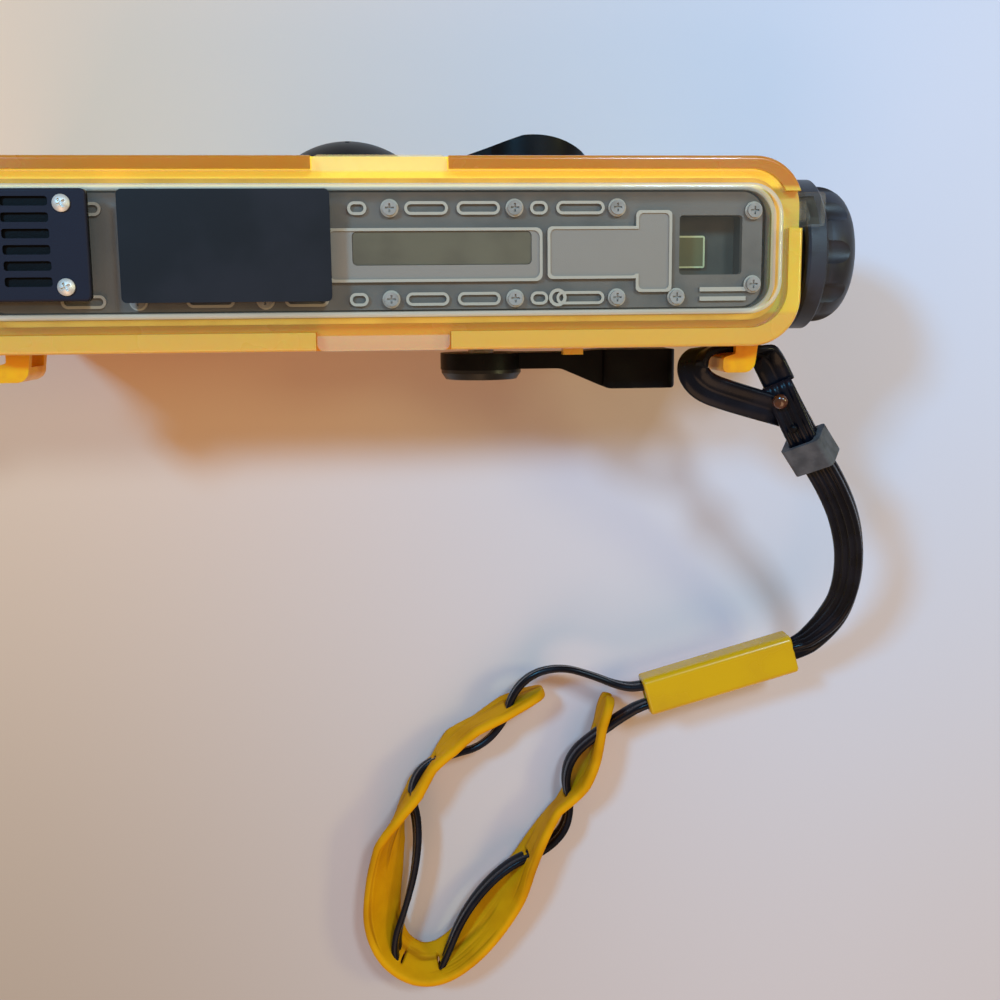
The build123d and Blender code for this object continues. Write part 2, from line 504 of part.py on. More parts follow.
with BuildPart() as cartridge_spring:
    with BuildSketch(Plane.XZ.offset(-3.0)):
        with BuildLine():
            FilletPolyline((LENS_X - 13, DOOR_LOW), (LENS_X - 6, DOOR_LOW - 2.0), (LENS_X + 6, DOOR_LOW - 2.0),
                           (LENS_X + 13, DOOR_LOW), radius=4.0)
            offset(amount=0.4, side=Side.RIGHT)
        make_face()
    extrude(amount=6.0)
save(cartridge_spring, "cartridge_spring")

# The ribbed black leaf of the hinge lies on the cover and bends down to the pin
LEAF_RIGHT, LEAF_Y, LEAF_HALF, LEAF_THICK = -58.8, 1.35, 11.2, 1.8
SLOT_X, SLOT_HALF, SLOT_PITCH, SLOT_COUNT, SLOT_HIGH = -71.0, 4.7, 3.2, 6, 1.9
LEAF_SCREWS = ((-63.6, 9.6), (-63.6, -7.0))
LEAF_X_HALF = 16.3
with BuildPart() as hinge_leaf:
    slab(LEAF_X_HALF, LEAF_HALF, 1.2, COVER_TOP, COVER_TOP + LEAF_THICK,
         centre=(LEAF_RIGHT - LEAF_X_HALF, LEAF_Y))
    fillet(hinge_leaf.faces().sort_by(Axis.Z)[-1].edges(), 0.5)
    box((HINGE_X, -CENTRE_Y, COVER_TOP), (LEAF_RIGHT - 2 * LEAF_X_HALF + 1.0, CENTRE_Y, COVER_TOP + LEAF_THICK))
    disc((HINGE_X, -CENTRE_Y, HINGE_Z), TOPWARD, COVER_TOP + LEAF_THICK - HINGE_Z, 2 * CENTRE_Y)
    disc((HINGE_X, -CENTRE_Y, HINGE_Z), TOPWARD, PIN_R + RUNNING, 2 * CENTRE_Y, Mode.SUBTRACT)
    # Six grip slots, one above the other
    with BuildSketch(Plane.XY.offset(COVER_TOP + LEAF_THICK - 0.9)):
        with Locations((SLOT_X, LEAF_Y + 0.7)):
            with GridLocations(1, SLOT_PITCH, 1, SLOT_COUNT):
                RectangleRounded(2 * SLOT_HALF, SLOT_HIGH, 0.6)
    extrude(amount=1, mode=Mode.SUBTRACT)
    with BuildSketch(Plane.XY.offset(COVER_TOP)):
        with Locations(*LEAF_SCREWS):
            Circle(SCREW_BORE)
    extrude(amount=LEAF_THICK, mode=Mode.SUBTRACT)
save(hinge_leaf, "hinge_leaf")

LEAF_TOP = COVER_TOP + LEAF_THICK
HEAD_R, HEAD_RIM, HEAD_RISES = 1.75, LEAF_TOP + 0.4, 0.7
with BuildPart() as hinge_screws:
    with BuildSketch(Plane.XY.offset(COVER_TOP)):
        with Locations(*LEAF_SCREWS):
            Circle(SCREW_BORE)
    extrude(amount=LEAF_THICK)
    for x, y in LEAF_SCREWS:
        with BuildSketch(Plane.XZ.offset(-y)):
            with BuildLine():
                Polyline((x, LEAF_TOP), (x + HEAD_R, LEAF_TOP), (x + HEAD_R, HEAD_RIM))
                bulge = cap_rise(HEAD_R, HEAD_RISES, HEAD_R / 2)
                ThreePointArc((x + HEAD_R, HEAD_RIM), (x + HEAD_R / 2, HEAD_RIM + bulge), (x, HEAD_RIM + HEAD_RISES))
                Line((x, HEAD_RIM + HEAD_RISES), (x, LEAF_TOP))
            make_face()
        revolve(axis=Axis((x, y, 0), UP))
    with BuildSketch(Plane.XY.offset(LEAF_TOP + 0.5)):
        with Locations(*LEAF_SCREWS):
            with Locations(Rotation(0, 0, 30)):
                Rectangle(2.0, 0.5)
                Rectangle(0.5, 2.0)
    extrude(amount=0.8, mode=Mode.SUBTRACT)
save(hinge_screws, "hinge_screws")

# The blank plate on the cover, where such a camera has its care notes
PLATE_LEFT, PLATE_RIGHT, PLATE_LOW, PLATE_HIGH = -53.2, -10.4, -10.3, 12.5
with BuildPart() as blank_plate:
    slab((PLATE_RIGHT - PLATE_LEFT) / 2, (PLATE_HIGH - PLATE_LOW) / 2, 1.1, COVER_TOP, COVER_TOP + 0.4,
         centre=((PLATE_LEFT + PLATE_RIGHT) / 2, (PLATE_LOW + PLATE_HIGH) / 2))
save(blank_plate, "blank_plate")

# The lock knob: a notched collar that takes the cover's claw, and a scalloped grip
COLLAR_HIGH = COLLAR_LOW + 4.4
GRIP_END = 105.2
GROOVE_IN, GROOVE_OUT = CLAW_R - 0.4, CLAW_R + CLAW_THICK + 0.4
with BuildPart() as lock_knob:
    disc((COLLAR_LOW, KNOB_Y, KNOB_Z), RIGHTWARD, COLLAR_R, COLLAR_HIGH - COLLAR_LOW)
    chamfer(lock_knob.edges().filter_by(GeomType.CIRCLE), 0.5)
    with BuildSketch(Plane(origin=(0, KNOB_Y, KNOB_Z), x_dir=RIGHTWARD, z_dir=DOWNWARD)):
        with BuildLine():
            Polyline((COLLAR_HIGH - 0.5, 0), (COLLAR_HIGH - 0.5, 15.4), (COLLAR_HIGH + 1.4, 15.2))
            ThreePointArc((COLLAR_HIGH + 1.4, 15.2), (GRIP_END - 1.1, 12.6), (GRIP_END, 7.6))
            Polyline((GRIP_END, 7.6), (GRIP_END, 0), (COLLAR_HIGH - 0.5, 0))
        make_face()
    revolve(axis=Axis((0, KNOB_Y, KNOB_Z), RIGHTWARD))
    with BuildSketch(Plane(origin=(COLLAR_HIGH + 0.4, KNOB_Y, KNOB_Z), x_dir=TOPWARD, z_dir=RIGHTWARD)):
        with PolarLocations(17.6, 10, start_angle=18):
            Circle(3.6)
    extrude(amount=14, mode=Mode.SUBTRACT)
    # The groove that the claw runs in, and the notch that lets it in and out
    ring((COLLAR_LOW, KNOB_Y, KNOB_Z), RIGHTWARD, GROOVE_OUT, GROOVE_IN, 2.4, Mode.SUBTRACT)
    box((COLLAR_LOW, KNOB_Y + 5.9, KNOB_Z + 7.0),
        (COLLAR_LOW + 2.4, KNOB_Y + 12.2, KNOB_Z + COLLAR_R + 1), Mode.SUBTRACT)
    disc((COLLAR_LOW, KNOB_Y, KNOB_Z), RIGHTWARD, SHAFT_R, 6.0, Mode.SUBTRACT)
save(lock_knob, "lock_knob")

with BuildPart() as lock_shaft:
    disc((84.2, KNOB_Y, KNOB_Z), RIGHTWARD, SHAFT_R, COLLAR_LOW + 6.0 - 84.2)
    ring((84.8, KNOB_Y, KNOB_Z), RIGHTWARD, SHAFT_R, SHAFT_R - 0.5, 0.7, Mode.SUBTRACT)
save(lock_shaft, "lock_shaft")

# A spring clip in the shaft's groove keeps the knob in the wall
with BuildPart() as lock_clip:
    with BuildSketch(Plane(origin=(84.8, KNOB_Y, KNOB_Z), x_dir=TOPWARD, z_dir=RIGHTWARD)):
        Circle(4.6)
        Circle(SHAFT_R - 0.5, mode=Mode.SUBTRACT)
        with Locations((0, -4)):
            Rectangle(3.2, 5, mode=Mode.SUBTRACT)
    extrude(amount=0.7)
save(lock_clip, "lock_clip")

# The focus dial on the top: a fluted dome with a mark, its shaft and its cam
DIAL_R, DIAL_LOW, DIAL_RIM, DIAL_TOP = 13.5, WALL_TOP + 0.7, WALL_TOP + 3.1, 25.9
with BuildPart() as focus_dial:
    with BuildSketch(Plane(origin=(FOCUS_X, 0, FOCUS_Z), x_dir=RIGHTWARD, z_dir=UP)):
        with BuildLine():
            Polyline((0, DIAL_LOW), (DIAL_R, DIAL_LOW), (DIAL_R, DIAL_RIM))
            bulge = cap_rise(DIAL_R, DIAL_TOP - DIAL_RIM, DIAL_R / 2)
            ThreePointArc((DIAL_R, DIAL_RIM), (DIAL_R / 2, DIAL_RIM + bulge), (0, DIAL_TOP))
            Line((0, DIAL_TOP), (0, DIAL_LOW))
        make_face()
    revolve(axis=Axis((FOCUS_X, 0, FOCUS_Z), TOPWARD))
    with BuildSketch(Plane(origin=(FOCUS_X, DIAL_LOW, FOCUS_Z), x_dir=RIGHTWARD, z_dir=TOPWARD)):
        with PolarLocations(DIAL_R + 0.5, 24):
            Circle(1.1)
    extrude(amount=8, mode=Mode.SUBTRACT)
    # A groove marks the setting
    box((FOCUS_X - 0.5, DIAL_TOP - 0.9, FOCUS_Z + 3), (FOCUS_X + 0.5, DIAL_TOP, FOCUS_Z + 9), Mode.SUBTRACT)
    disc((FOCUS_X, DIAL_LOW, FOCUS_Z), TOPWARD, SHAFT_R, 4.0, Mode.SUBTRACT)
save(focus_dial, "focus_dial")

with BuildPart() as focus_shaft:
    disc((FOCUS_X, ARM_IN, FOCUS_Z), TOPWARD, SHAFT_R, DIAL_LOW + 4.0 - ARM_IN)
save(focus_shaft, "focus_shaft")

CAM_R, CAM_OFF = 6.0, 0.6
with BuildPart() as focus_cam:
    disc((FOCUS_X, ARM_IN, FOCUS_Z + CAM_OFF), TOPWARD, CAM_R, ARM_OUT - ARM_IN)
    disc((FOCUS_X, ARM_IN, FOCUS_Z), TOPWARD, SHAFT_R, ARM_OUT - ARM_IN, Mode.SUBTRACT)
save(focus_cam, "focus_cam")

# The shutter release: a round pad with a tapered tail, on a sprung stem
PAD_LOW, PAD_TOP, PAD_R, TAIL_X = WALL_TOP + 2.1, 25.8, 13.3, 17.8
STEM_R, STEM_IN = SHAFT_R, 14.5
with BuildPart() as shutter_release:
    with BuildSketch(Plane.XY.offset(RELEASE_Z - 16)):
        with BuildLine():
            Polyline((TAIL_X, PAD_LOW), (TAIL_X, PAD_LOW + 1.6), (RELEASE_X - 3.0, PAD_TOP))
            ThreePointArc((RELEASE_X - 3.0, PAD_TOP), (RELEASE_X + 7.0, PAD_TOP - 1.1),
                          (RELEASE_X + PAD_R, PAD_LOW + 1.4))
            Polyline((RELEASE_X + PAD_R, PAD_LOW + 1.4), (RELEASE_X + PAD_R, PAD_LOW), (TAIL_X, PAD_LOW))
        make_face()
    extrude(amount=32)
    with BuildSketch(Plane(origin=(RELEASE_X, PAD_LOW, RELEASE_Z), x_dir=RIGHTWARD, z_dir=TOPWARD)):
        Circle(PAD_R)
        with BuildLine():
            lean = degrees(asin((PAD_R - 4.0) / (RELEASE_X - TAIL_X - 4.0)))
            touch = (-PAD_R * sin(radians(lean)), PAD_R * cos(radians(lean)))
            Polyline(touch, (TAIL_X - RELEASE_X, 5.4), (TAIL_X - RELEASE_X, -5.4), (touch[0], -touch[1]), touch)
        make_face()
    extrude(amount=8, mode=Mode.INTERSECT)
    fillet(shutter_release.edges().filter_by(Axis.Y), 1.2)
    disc((RELEASE_X, PAD_LOW, RELEASE_Z), TOPWARD, STEM_R, 3.0, Mode.SUBTRACT)
save(shutter_release, "shutter_release")

with BuildPart() as release_stem:
    disc((RELEASE_X, STEM_IN, RELEASE_Z), TOPWARD, STEM_R, PAD_LOW + 3.0 - STEM_IN)
    disc((RELEASE_X, STEM_IN, RELEASE_Z), TOPWARD, STEM_R + 1.2, 0.8)
save(release_stem, "release_stem")

# The film lever on the bottom: a flat arm with a deep finger paddle
LEVER_IN, LEVER_OUT, PADDLE_OUT, PADDLE_END = -22.4, -26.2, -31.0, 68.0
HUB_R, ARM_HALF, PADDLE_HALF = 9.6, 4.2, 6.0
with BuildPart() as advance_lever:
    with BuildSketch(Plane.XY.offset(LEVER_Z - HUB_R - 1)):
        with BuildLine():
            FilletPolyline((LEVER_X - HUB_R - 1, LEVER_IN), (LEVER_X - HUB_R - 1, LEVER_OUT), (41.0, LEVER_OUT),
                           (52.0, PADDLE_OUT), (PADDLE_END, PADDLE_OUT), (PADDLE_END, -21.9), (50.0, -21.9),
                           (44.0, LEVER_IN), radius=[0.5, 6.0, 5.0, 1.2, 0.6, 3.0])
            Line((44.0, LEVER_IN), (LEVER_X - HUB_R - 1, LEVER_IN))
        make_face()
    extrude(amount=2 * HUB_R + 2)
    with BuildSketch(Plane(origin=(LEVER_X, -20.0, LEVER_Z), x_dir=RIGHTWARD, z_dir=DOWNWARD)):
        Circle(HUB_R)
        with Locations(((PADDLE_END - LEVER_X) / 2, 0)):
            Rectangle(PADDLE_END - LEVER_X, 2 * ARM_HALF)
        with Locations((PADDLE_END - LEVER_X - 8.6, 0)):
            RectangleRounded(17.2, 2 * PADDLE_HALF, 2.0)
    extrude(amount=14, mode=Mode.INTERSECT)
    disc((LEVER_X, LEVER_IN + 1, LEVER_Z), DOWNWARD, SHAFT_R, 8, Mode.SUBTRACT)
save(advance_lever, "advance_lever")

with BuildPart() as lever_cap:
    with BuildSketch(Plane(origin=(LEVER_X, LEVER_OUT, LEVER_Z), x_dir=RIGHTWARD, z_dir=UP)):
        with BuildLine():
            Polyline((SHAFT_R, 0), (HUB_R - 0.2, 0), (HUB_R - 0.2, -0.8), (HUB_R - 1.2, -2.3), (5.6, -2.3),
                     (4.6, -1.5), (SHAFT_R, -1.5), (SHAFT_R, 0))
        make_face()
    revolve(axis=Axis((LEVER_X, 0, LEVER_Z), TOPWARD))
save(lever_cap, "lever_cap")

GEAR_LOW = -13.9
GEAR_THICK = 2.0
with BuildPart() as advance_shaft:
    disc((LEVER_X, GEAR_LOW + 0.4, LEVER_Z), DOWNWARD, SHAFT_R, GEAR_LOW - LEVER_OUT + 1.3)
save(advance_shaft, "advance_shaft")

# The gears between the lever and the take-up spindle
MODULE = 1.0
LEVER_TEETH, TAKEUP_TEETH = 37, 24


def gear_face(teeth, phase):
    """A spur gear with straight-sided teeth; phase turns it by part of a tooth."""
    pitch_r = MODULE * teeth / 2
    tip_r, root_r = pitch_r + 0.8 * MODULE, pitch_r - 1.05 * MODULE
    step = 2 * pi / teeth
    points = []
    for tooth in range(teeth):
        middle = (tooth + phase) * step
        for radius, half in ((root_r, 0.30), (tip_r, 0.11)):
            points.append((radius, middle - half * step))
        for radius, half in ((tip_r, 0.11), (root_r, 0.30)):
            points.append((radius, middle + half * step))
    return [(r * cos(a), r * sin(a)) for r, a in points]


def gear(x, z, teeth, phase, bore):
    """A gear in the gap below the chassis, on its shaft."""
    with BuildPart() as wheel:
        with BuildSketch(Plane(origin=(x, GEAR_LOW, z), x_dir=RIGHTWARD, z_dir=DOWNWARD)):
            with BuildLine():
                Polyline(*gear_face(teeth, phase), close=True)
            make_face()
            Circle(bore, mode=Mode.SUBTRACT)
            with PolarLocations(MODULE * teeth / 4 + 1.2, 5):
                Circle(MODULE * teeth / 14, mode=Mode.SUBTRACT)
        extrude(amount=GEAR_THICK)
    return wheel


# A tooth of the first gear points at the second, which has a gap there
line_turn = atan2(TAKEUP_Z - LEVER_Z, TAKEUP_X - LEVER_X) / (2 * pi)
lever_phase = (line_turn * LEVER_TEETH) % 1
takeup_phase = ((line_turn + 0.5) * TAKEUP_TEETH + 0.5) % 1
save(gear(LEVER_X, LEVER_Z, LEVER_TEETH, lever_phase, SHAFT_R), "advance_gear")
with BuildPart() as takeup_spindle:
    disc((TAKEUP_X, GEAR_LOW - GEAR_THICK - 0.3, TAKEUP_Z), TOPWARD, 1.5, -CHASSIS_Y + 2.6 - GEAR_LOW + 2.3)
save(takeup_spindle, "takeup_spindle")
save(gear(TAKEUP_X, TAKEUP_Z, TAKEUP_TEETH, takeup_phase, 1.5), "takeup_gear")
print("gear centres", round(hypot(TAKEUP_X - LEVER_X, TAKEUP_Z - LEVER_Z), 3))

# The wrist strap: a flat vinyl strand looped through the right lug, doubled
# from the rivet to the sleeve, and two strands on through the wrist pad
STRAND_WIDE, STRAND_THICK = 6.2, 2.0
BAND_R, CORD_R = 2.6, 1.3


def corner_radii(route):
    """The arc at each corner: 0.45 of its shorter run over the tangent of half its turn."""
    radii = []
    for a, b, c in zip(route, route[1:], route[2:]):
        into, out = Vector(*b) - Vector(*a), Vector(*c) - Vector(*b)
        turn = radians(into.get_angle(out))
        radii.append(0.45 * min(into.length, out.length) / tan(turn / 2))
    return radii


def tube(route, radius, mode=Mode.ADD):
    """A round tube along straight runs joined by tangent arcs; gives its length."""
    with BuildLine() as path:
        FilletPolyline(*route, radius=corner_radii(route))
    with BuildSketch(Plane(origin=route[0], z_dir=Vector(*route[1]) - Vector(*route[0]))) as section:
        Circle(radius)
    sweep(section.sketch, path=path.wire(), mode=mode)
    return path.wire().length


def report(name, route, radius, builder, length):
    """Prints a route's radii and compares its solid with its section times its length."""
    volume = builder.part.volume / (pi * radius ** 2 * length)
    print(name, "length", round(length, 1), "volume ratio", round(volume, 3),
          "radii", [round(r, 1) for r in corner_radii(route)])


# The doubled strand runs level from the rivet to the keeper, then down in a bow
BAND_ROUTE = [(89.2, -29.65, 49.6), (95.7, -41.9, 49.0), (99.6, -47.5, 48.2), (104.4, -54.3, 46.2),
              (109.2, -62.2, 42.2), (113.0, -71.4, 36.8), (115.1, -81.1, 30.8), (115.0, -89.9, 24.9),
              (112.5, -97.1, 19.8), (108.0, -103.1, 15.8), (98.0, -105.8, 15.6)]
BAND_FACE = (-0.55, -0.33, 0.77)


def stud(place, bore, half, front, back, mode=Mode.ADD):
    """A shank through the doubled strand, with a head of its own radius and rise at each end."""
    axis = Vector(*BAND_FACE).normalized()
    disc(tuple(Vector(*place) - half * axis), tuple(axis), bore, 2 * half, mode)
    for side, (radius, rise) in ((1, front), (-1, back)):
        face = Vector(*place) + side * half * axis
        disc(tuple(face), tuple(side * axis), radius, rise, mode)


RIVET_AT, RIVET_R, RIVET_HALF = (91.0, -33.0, 49.5), 0.8, 2.15
RIVET_FRONT, RIVET_BACK = (1.8, 1.4), (2.4, 1.6)
PIN_AT, STRAP_PIN_R, PIN_HEAD = (94.4, -39.4, 49.2), 0.5, (0.95, 0.7)
SEAT = 0.1
with BuildPart() as strap_band:
    band_length = tube(BAND_ROUTE, BAND_R)
    report("strap_band", BAND_ROUTE, BAND_R, strap_band, band_length)
    stud(RIVET_AT, RIVET_R, RIVET_HALF, (RIVET_FRONT[0] + SEAT, 3), (RIVET_BACK[0] + SEAT, 3), Mode.SUBTRACT)
    stud(PIN_AT, STRAP_PIN_R, RIVET_HALF, (PIN_HEAD[0] + SEAT, 3), (PIN_HEAD[0] + SEAT, 3), Mode.SUBTRACT)
save(strap_band, "strap_band")

# The rivet that closes the loop and the pin beside it, each with a round head on both sides
with BuildPart() as strap_rivet:
    stud(RIVET_AT, RIVET_R, RIVET_HALF, RIVET_FRONT, RIVET_BACK)
    fillet(strap_rivet.faces().sort_by(Axis((0, 0, 0), BAND_FACE))[-1].edges(), 1.2)
    fillet(strap_rivet.faces().sort_by(Axis((0, 0, 0), BAND_FACE))[0].edges(), 0.9)
save(strap_rivet, "strap_rivet")

with BuildPart() as strap_pin:
    stud(PIN_AT, STRAP_PIN_R, RIVET_HALF, PIN_HEAD, PIN_HEAD)
    fillet(strap_pin.faces().sort_by(Axis((0, 0, 0), BAND_FACE))[-1].edges(), 0.6)
save(strap_pin, "strap_pin")

# The single strand loops through the lug's gap; both of its ends meet the doubled strand
LOOP_ROUTE = [(89.95, -28.85), (88.2, -25.4), (85.8, -21.5), (73.6, -21.4), (69.4, -25.4), (71.8, -30.0),
              (78.4, -32.6), (88.0, -35.4)]
LOOP_RADII = [10.0, 2.6, 2.6, 2.6, 3.6, 14.0]
with BuildPart() as strap_loop:
    with BuildSketch(Plane.XY.offset(LUG_Z - STRAND_WIDE / 2)):
        with BuildLine() as loop_line:
            FilletPolyline(*LOOP_ROUTE, radius=LOOP_RADII)
        trace(loop_line.line, line_width=STRAND_THICK)
    extrude(amount=STRAND_WIDE)
save(strap_loop, "strap_loop")

# The rubber keeper that the doubled strand passes through
KEEPER_AT, KEEPER_AXIS, KEEPER_ACROSS = (98.2, -45.5, 48.45), (0.57, -0.82, -0.12), (0.675, 0.376, 0.643)
KEEPER_WIDE, KEEPER_HIGH, KEEPER_LONG = 10.0, 7.8, 7.2
with BuildPart() as strap_keeper:
    start = Vector(*KEEPER_AT) - KEEPER_LONG / 2 * Vector(*KEEPER_AXIS).normalized()
    with BuildSketch(Plane(origin=start, x_dir=KEEPER_ACROSS, z_dir=KEEPER_AXIS)):
        RectangleRounded(KEEPER_WIDE, KEEPER_HIGH, 1.2)
        RectangleRounded(2 * BAND_R + 1.3, 2 * BAND_R + 0.7, 1.0, mode=Mode.SUBTRACT)
    extrude(amount=KEEPER_LONG)
save(strap_keeper, "strap_keeper")

# The glossy sleeve, with a pocket for the doubled strand at one end and one for
# the two single strands at the other
SLEEVE_LEFT, SLEEVE_AXIS, SLEEVE_ACROSS = (66.5, -114.4, 15.6), (0.965, 0.262, 0), (-0.262, 0.965, 0)
SLEEVE_LONG, SLEEVE_WIDE, SLEEVE_HIGH = 41.2, 10.4, 7.6
POCKET_DEEP, STRAND_OFF = 9.0, 2.3
with BuildPart() as strap_sleeve:
    with BuildSketch(Plane(origin=SLEEVE_LEFT, x_dir=SLEEVE_ACROSS, z_dir=SLEEVE_AXIS)):
        RectangleRounded(SLEEVE_WIDE, SLEEVE_HIGH, 1.6)
    extrude(amount=SLEEVE_LONG)
    ends = strap_sleeve.faces().sort_by(Axis((0, 0, 0), SLEEVE_AXIS))
    fillet(ends[0].edges() + ends[-1].edges(), 0.8)
    with BuildSketch(Plane(origin=SLEEVE_LEFT, x_dir=SLEEVE_ACROSS, z_dir=SLEEVE_AXIS)):
        SlotOverall(2 * STRAND_OFF + 2 * CORD_R + 1.4, 2 * CORD_R + 1.4)
    extrude(amount=POCKET_DEEP, mode=Mode.SUBTRACT)
    with BuildSketch(Plane(origin=SLEEVE_LEFT, x_dir=SLEEVE_ACROSS, z_dir=SLEEVE_AXIS).offset(SLEEVE_LONG)):
        RectangleRounded(2 * BAND_R + 2.2, 2 * BAND_R + 0.8, 1.4)
    extrude(amount=-POCKET_DEEP - 1.0, mode=Mode.SUBTRACT)
save(strap_sleeve, "strap_sleeve")

# One strand leaves the sleeve, weaves through the pad and comes back
CORD_ROUTE = [(73.6, -110.1, 15.6), (65.3, -112.3, 15.4), (60.0, -112.4, 13.5), (53.0, -109.7, 12.0),
              (45.1, -107.4, 10.8), (37.1, -109.1, 9.6), (31.7, -114.8, 8.6), (29.7, -122.7, 8.0),
              (23.5, -130.0, 7.6), (14.9, -132.2, 7.2), (7.1, -134.8, 7.0), (3.5, -142.0, 7.0),
              (5.5, -152.2, 7.0), (4.7, -163.9, 7.0), (1.9, -175.2, 7.0), (-1.4, -185.0, 7.0),
              (-0.8, -192.6, 7.0), (4.0, -198.2, 7.0), (9.8, -197.8, 7.0), (12.8, -190.6, 7.0),
              (17.1, -180.0, 7.0), (23.7, -170.8, 7.0), (31.5, -164.2, 7.0), (39.9, -161.2, 7.0),
              (46.2, -155.3, 7.0), (47.6, -147.6, 7.0), (46.0, -140.3, 7.0), (48.3, -133.0, 7.2),
              (55.2, -126.8, 8.8), (61.2, -121.0, 12.2), (66.4, -116.9, 15.2), (74.8, -114.5, 15.6)]
with BuildPart() as wrist_cord:
    cord_length = tube(CORD_ROUTE, CORD_R)
report("wrist_cord", CORD_ROUTE, CORD_R, wrist_cord, cord_length)
save(wrist_cord, "wrist_cord")

# The wrist pad stands on its edge; the strand passes through its slots
PAD_ROUTE = [(40.5, -114.9), (33.9, -117.5), (26.4, -121.5), (19.5, -125.5), (14.0, -129.8), (9.4, -135.3),
             (4.9, -142.0), (0.4, -148.6), (-2.8, -156.1), (-4.5, -164.8), (-5.9, -173.6), (-6.2, -181.1),
             (-3.7, -189.0), (1.7, -194.3), (7.6, -195.7), (13.9, -194.0), (20.7, -188.6), (26.7, -181.1),
             (31.8, -172.7), (35.3, -164.7), (38.7, -157.5), (43.4, -149.6), (49.7, -142.6), (53.6, -135.5),
             (55.4, -128.4), (56.8, -121.3), (58.6, -116.8)]
PAD_STRAND_THICK, PAD_BOTTOM, PAD_HIGH = 2.4, 0.4, 13.4
with BuildPart() as wrist_pad:
    with BuildSketch(Plane.XY.offset(PAD_BOTTOM)):
        with BuildLine() as pad_line:
            FilletPolyline(*PAD_ROUTE, radius=corner_radii([(x, y, 0) for x, y in PAD_ROUTE]))
        trace(pad_line.line, line_width=PAD_STRAND_THICK)
    extrude(amount=PAD_HIGH)
    tube(CORD_ROUTE, CORD_R + 0.15, Mode.SUBTRACT)
print("wrist_pad solids", len(wrist_pad.solids()))
save(wrist_pad, "wrist_pad")
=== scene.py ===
"""An underwater film camera on a pale floor, dressed for its picture.

The camera lies on its front with its clear back up. Its rigid pieces come from
the CAD frame and get their finishes here; the wrist strap's soft pieces are
modelled here in place of their plain solids.
"""
import json
import logging
import math
from dataclasses import dataclass, field
from enum import Enum

import bmesh
import bpy
from mathutils import Matrix, Vector


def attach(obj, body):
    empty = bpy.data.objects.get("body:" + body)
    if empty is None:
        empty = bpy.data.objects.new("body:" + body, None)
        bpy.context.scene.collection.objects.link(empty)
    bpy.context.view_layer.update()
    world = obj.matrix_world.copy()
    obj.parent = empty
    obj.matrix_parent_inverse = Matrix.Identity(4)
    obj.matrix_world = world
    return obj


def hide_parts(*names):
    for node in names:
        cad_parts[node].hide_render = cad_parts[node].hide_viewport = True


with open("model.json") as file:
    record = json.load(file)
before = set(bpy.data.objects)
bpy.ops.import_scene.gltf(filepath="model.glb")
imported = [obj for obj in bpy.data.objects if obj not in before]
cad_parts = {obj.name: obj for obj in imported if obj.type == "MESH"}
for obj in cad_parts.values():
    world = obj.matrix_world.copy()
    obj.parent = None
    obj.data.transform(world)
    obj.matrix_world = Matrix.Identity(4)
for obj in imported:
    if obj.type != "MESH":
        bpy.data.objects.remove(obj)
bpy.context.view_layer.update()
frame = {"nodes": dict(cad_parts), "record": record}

LOG = logging.getLogger("underwater_camera")
MM = 0.001
Colour = tuple[float, float, float]
Point = tuple[float, float, float]


def paint(red: int, green: int, blue: int) -> Colour:
    """A colour as a screen shows it, turned into the renderer's linear values.

    Args:
        red: Red from 0 to 255.
        green: Green from 0 to 255.
        blue: Blue from 0 to 255.

    Returns:
        The linear red, green and blue.
    """
    return tuple(((v / 255 + 0.055) / 1.055) ** 2.4 if v > 10 else v / 255 / 12.92 for v in (red, green, blue))


class Term:
    """A shader socket that takes part in Python arithmetic."""

    def __init__(self, graph: "Graph", socket: bpy.types.NodeSocket) -> None:
        """Keeps the socket and the graph that it belongs to."""
        self.graph = graph
        self.socket = socket

    def _with(self, operation: str, first: "Term | float", second: "Term | float") -> "Term":
        """The result of one Math node on two values."""
        return self.graph.add("ShaderNodeMath", {"operation": operation}, {0: first, 1: second})

    def __add__(self, other: "Term | float") -> "Term":
        """The sum."""
        return self._with("ADD", self, other)

    __radd__ = __add__

    def __sub__(self, other: "Term | float") -> "Term":
        """The difference."""
        return self._with("SUBTRACT", self, other)

    def __rsub__(self, other: "Term | float") -> "Term":
        """The difference, from the other value."""
        return self._with("SUBTRACT", other, self)

    def __mul__(self, other: "Term | float") -> "Term":
        """The product."""
        return self._with("MULTIPLY", self, other)

    __rmul__ = __mul__

    def __pow__(self, other: "Term | float") -> "Term":
        """The power."""
        return self._with("POWER", self, other)

    def __abs__(self) -> "Term":
        """The value without its sign."""
        return self._with("ABSOLUTE", self, 0.0)

    def beyond(self, limit: float) -> "Term":
        """How far the value's size is past a limit, or nothing before it."""
        return self._with("MAXIMUM", abs(self) - limit, 0.0)


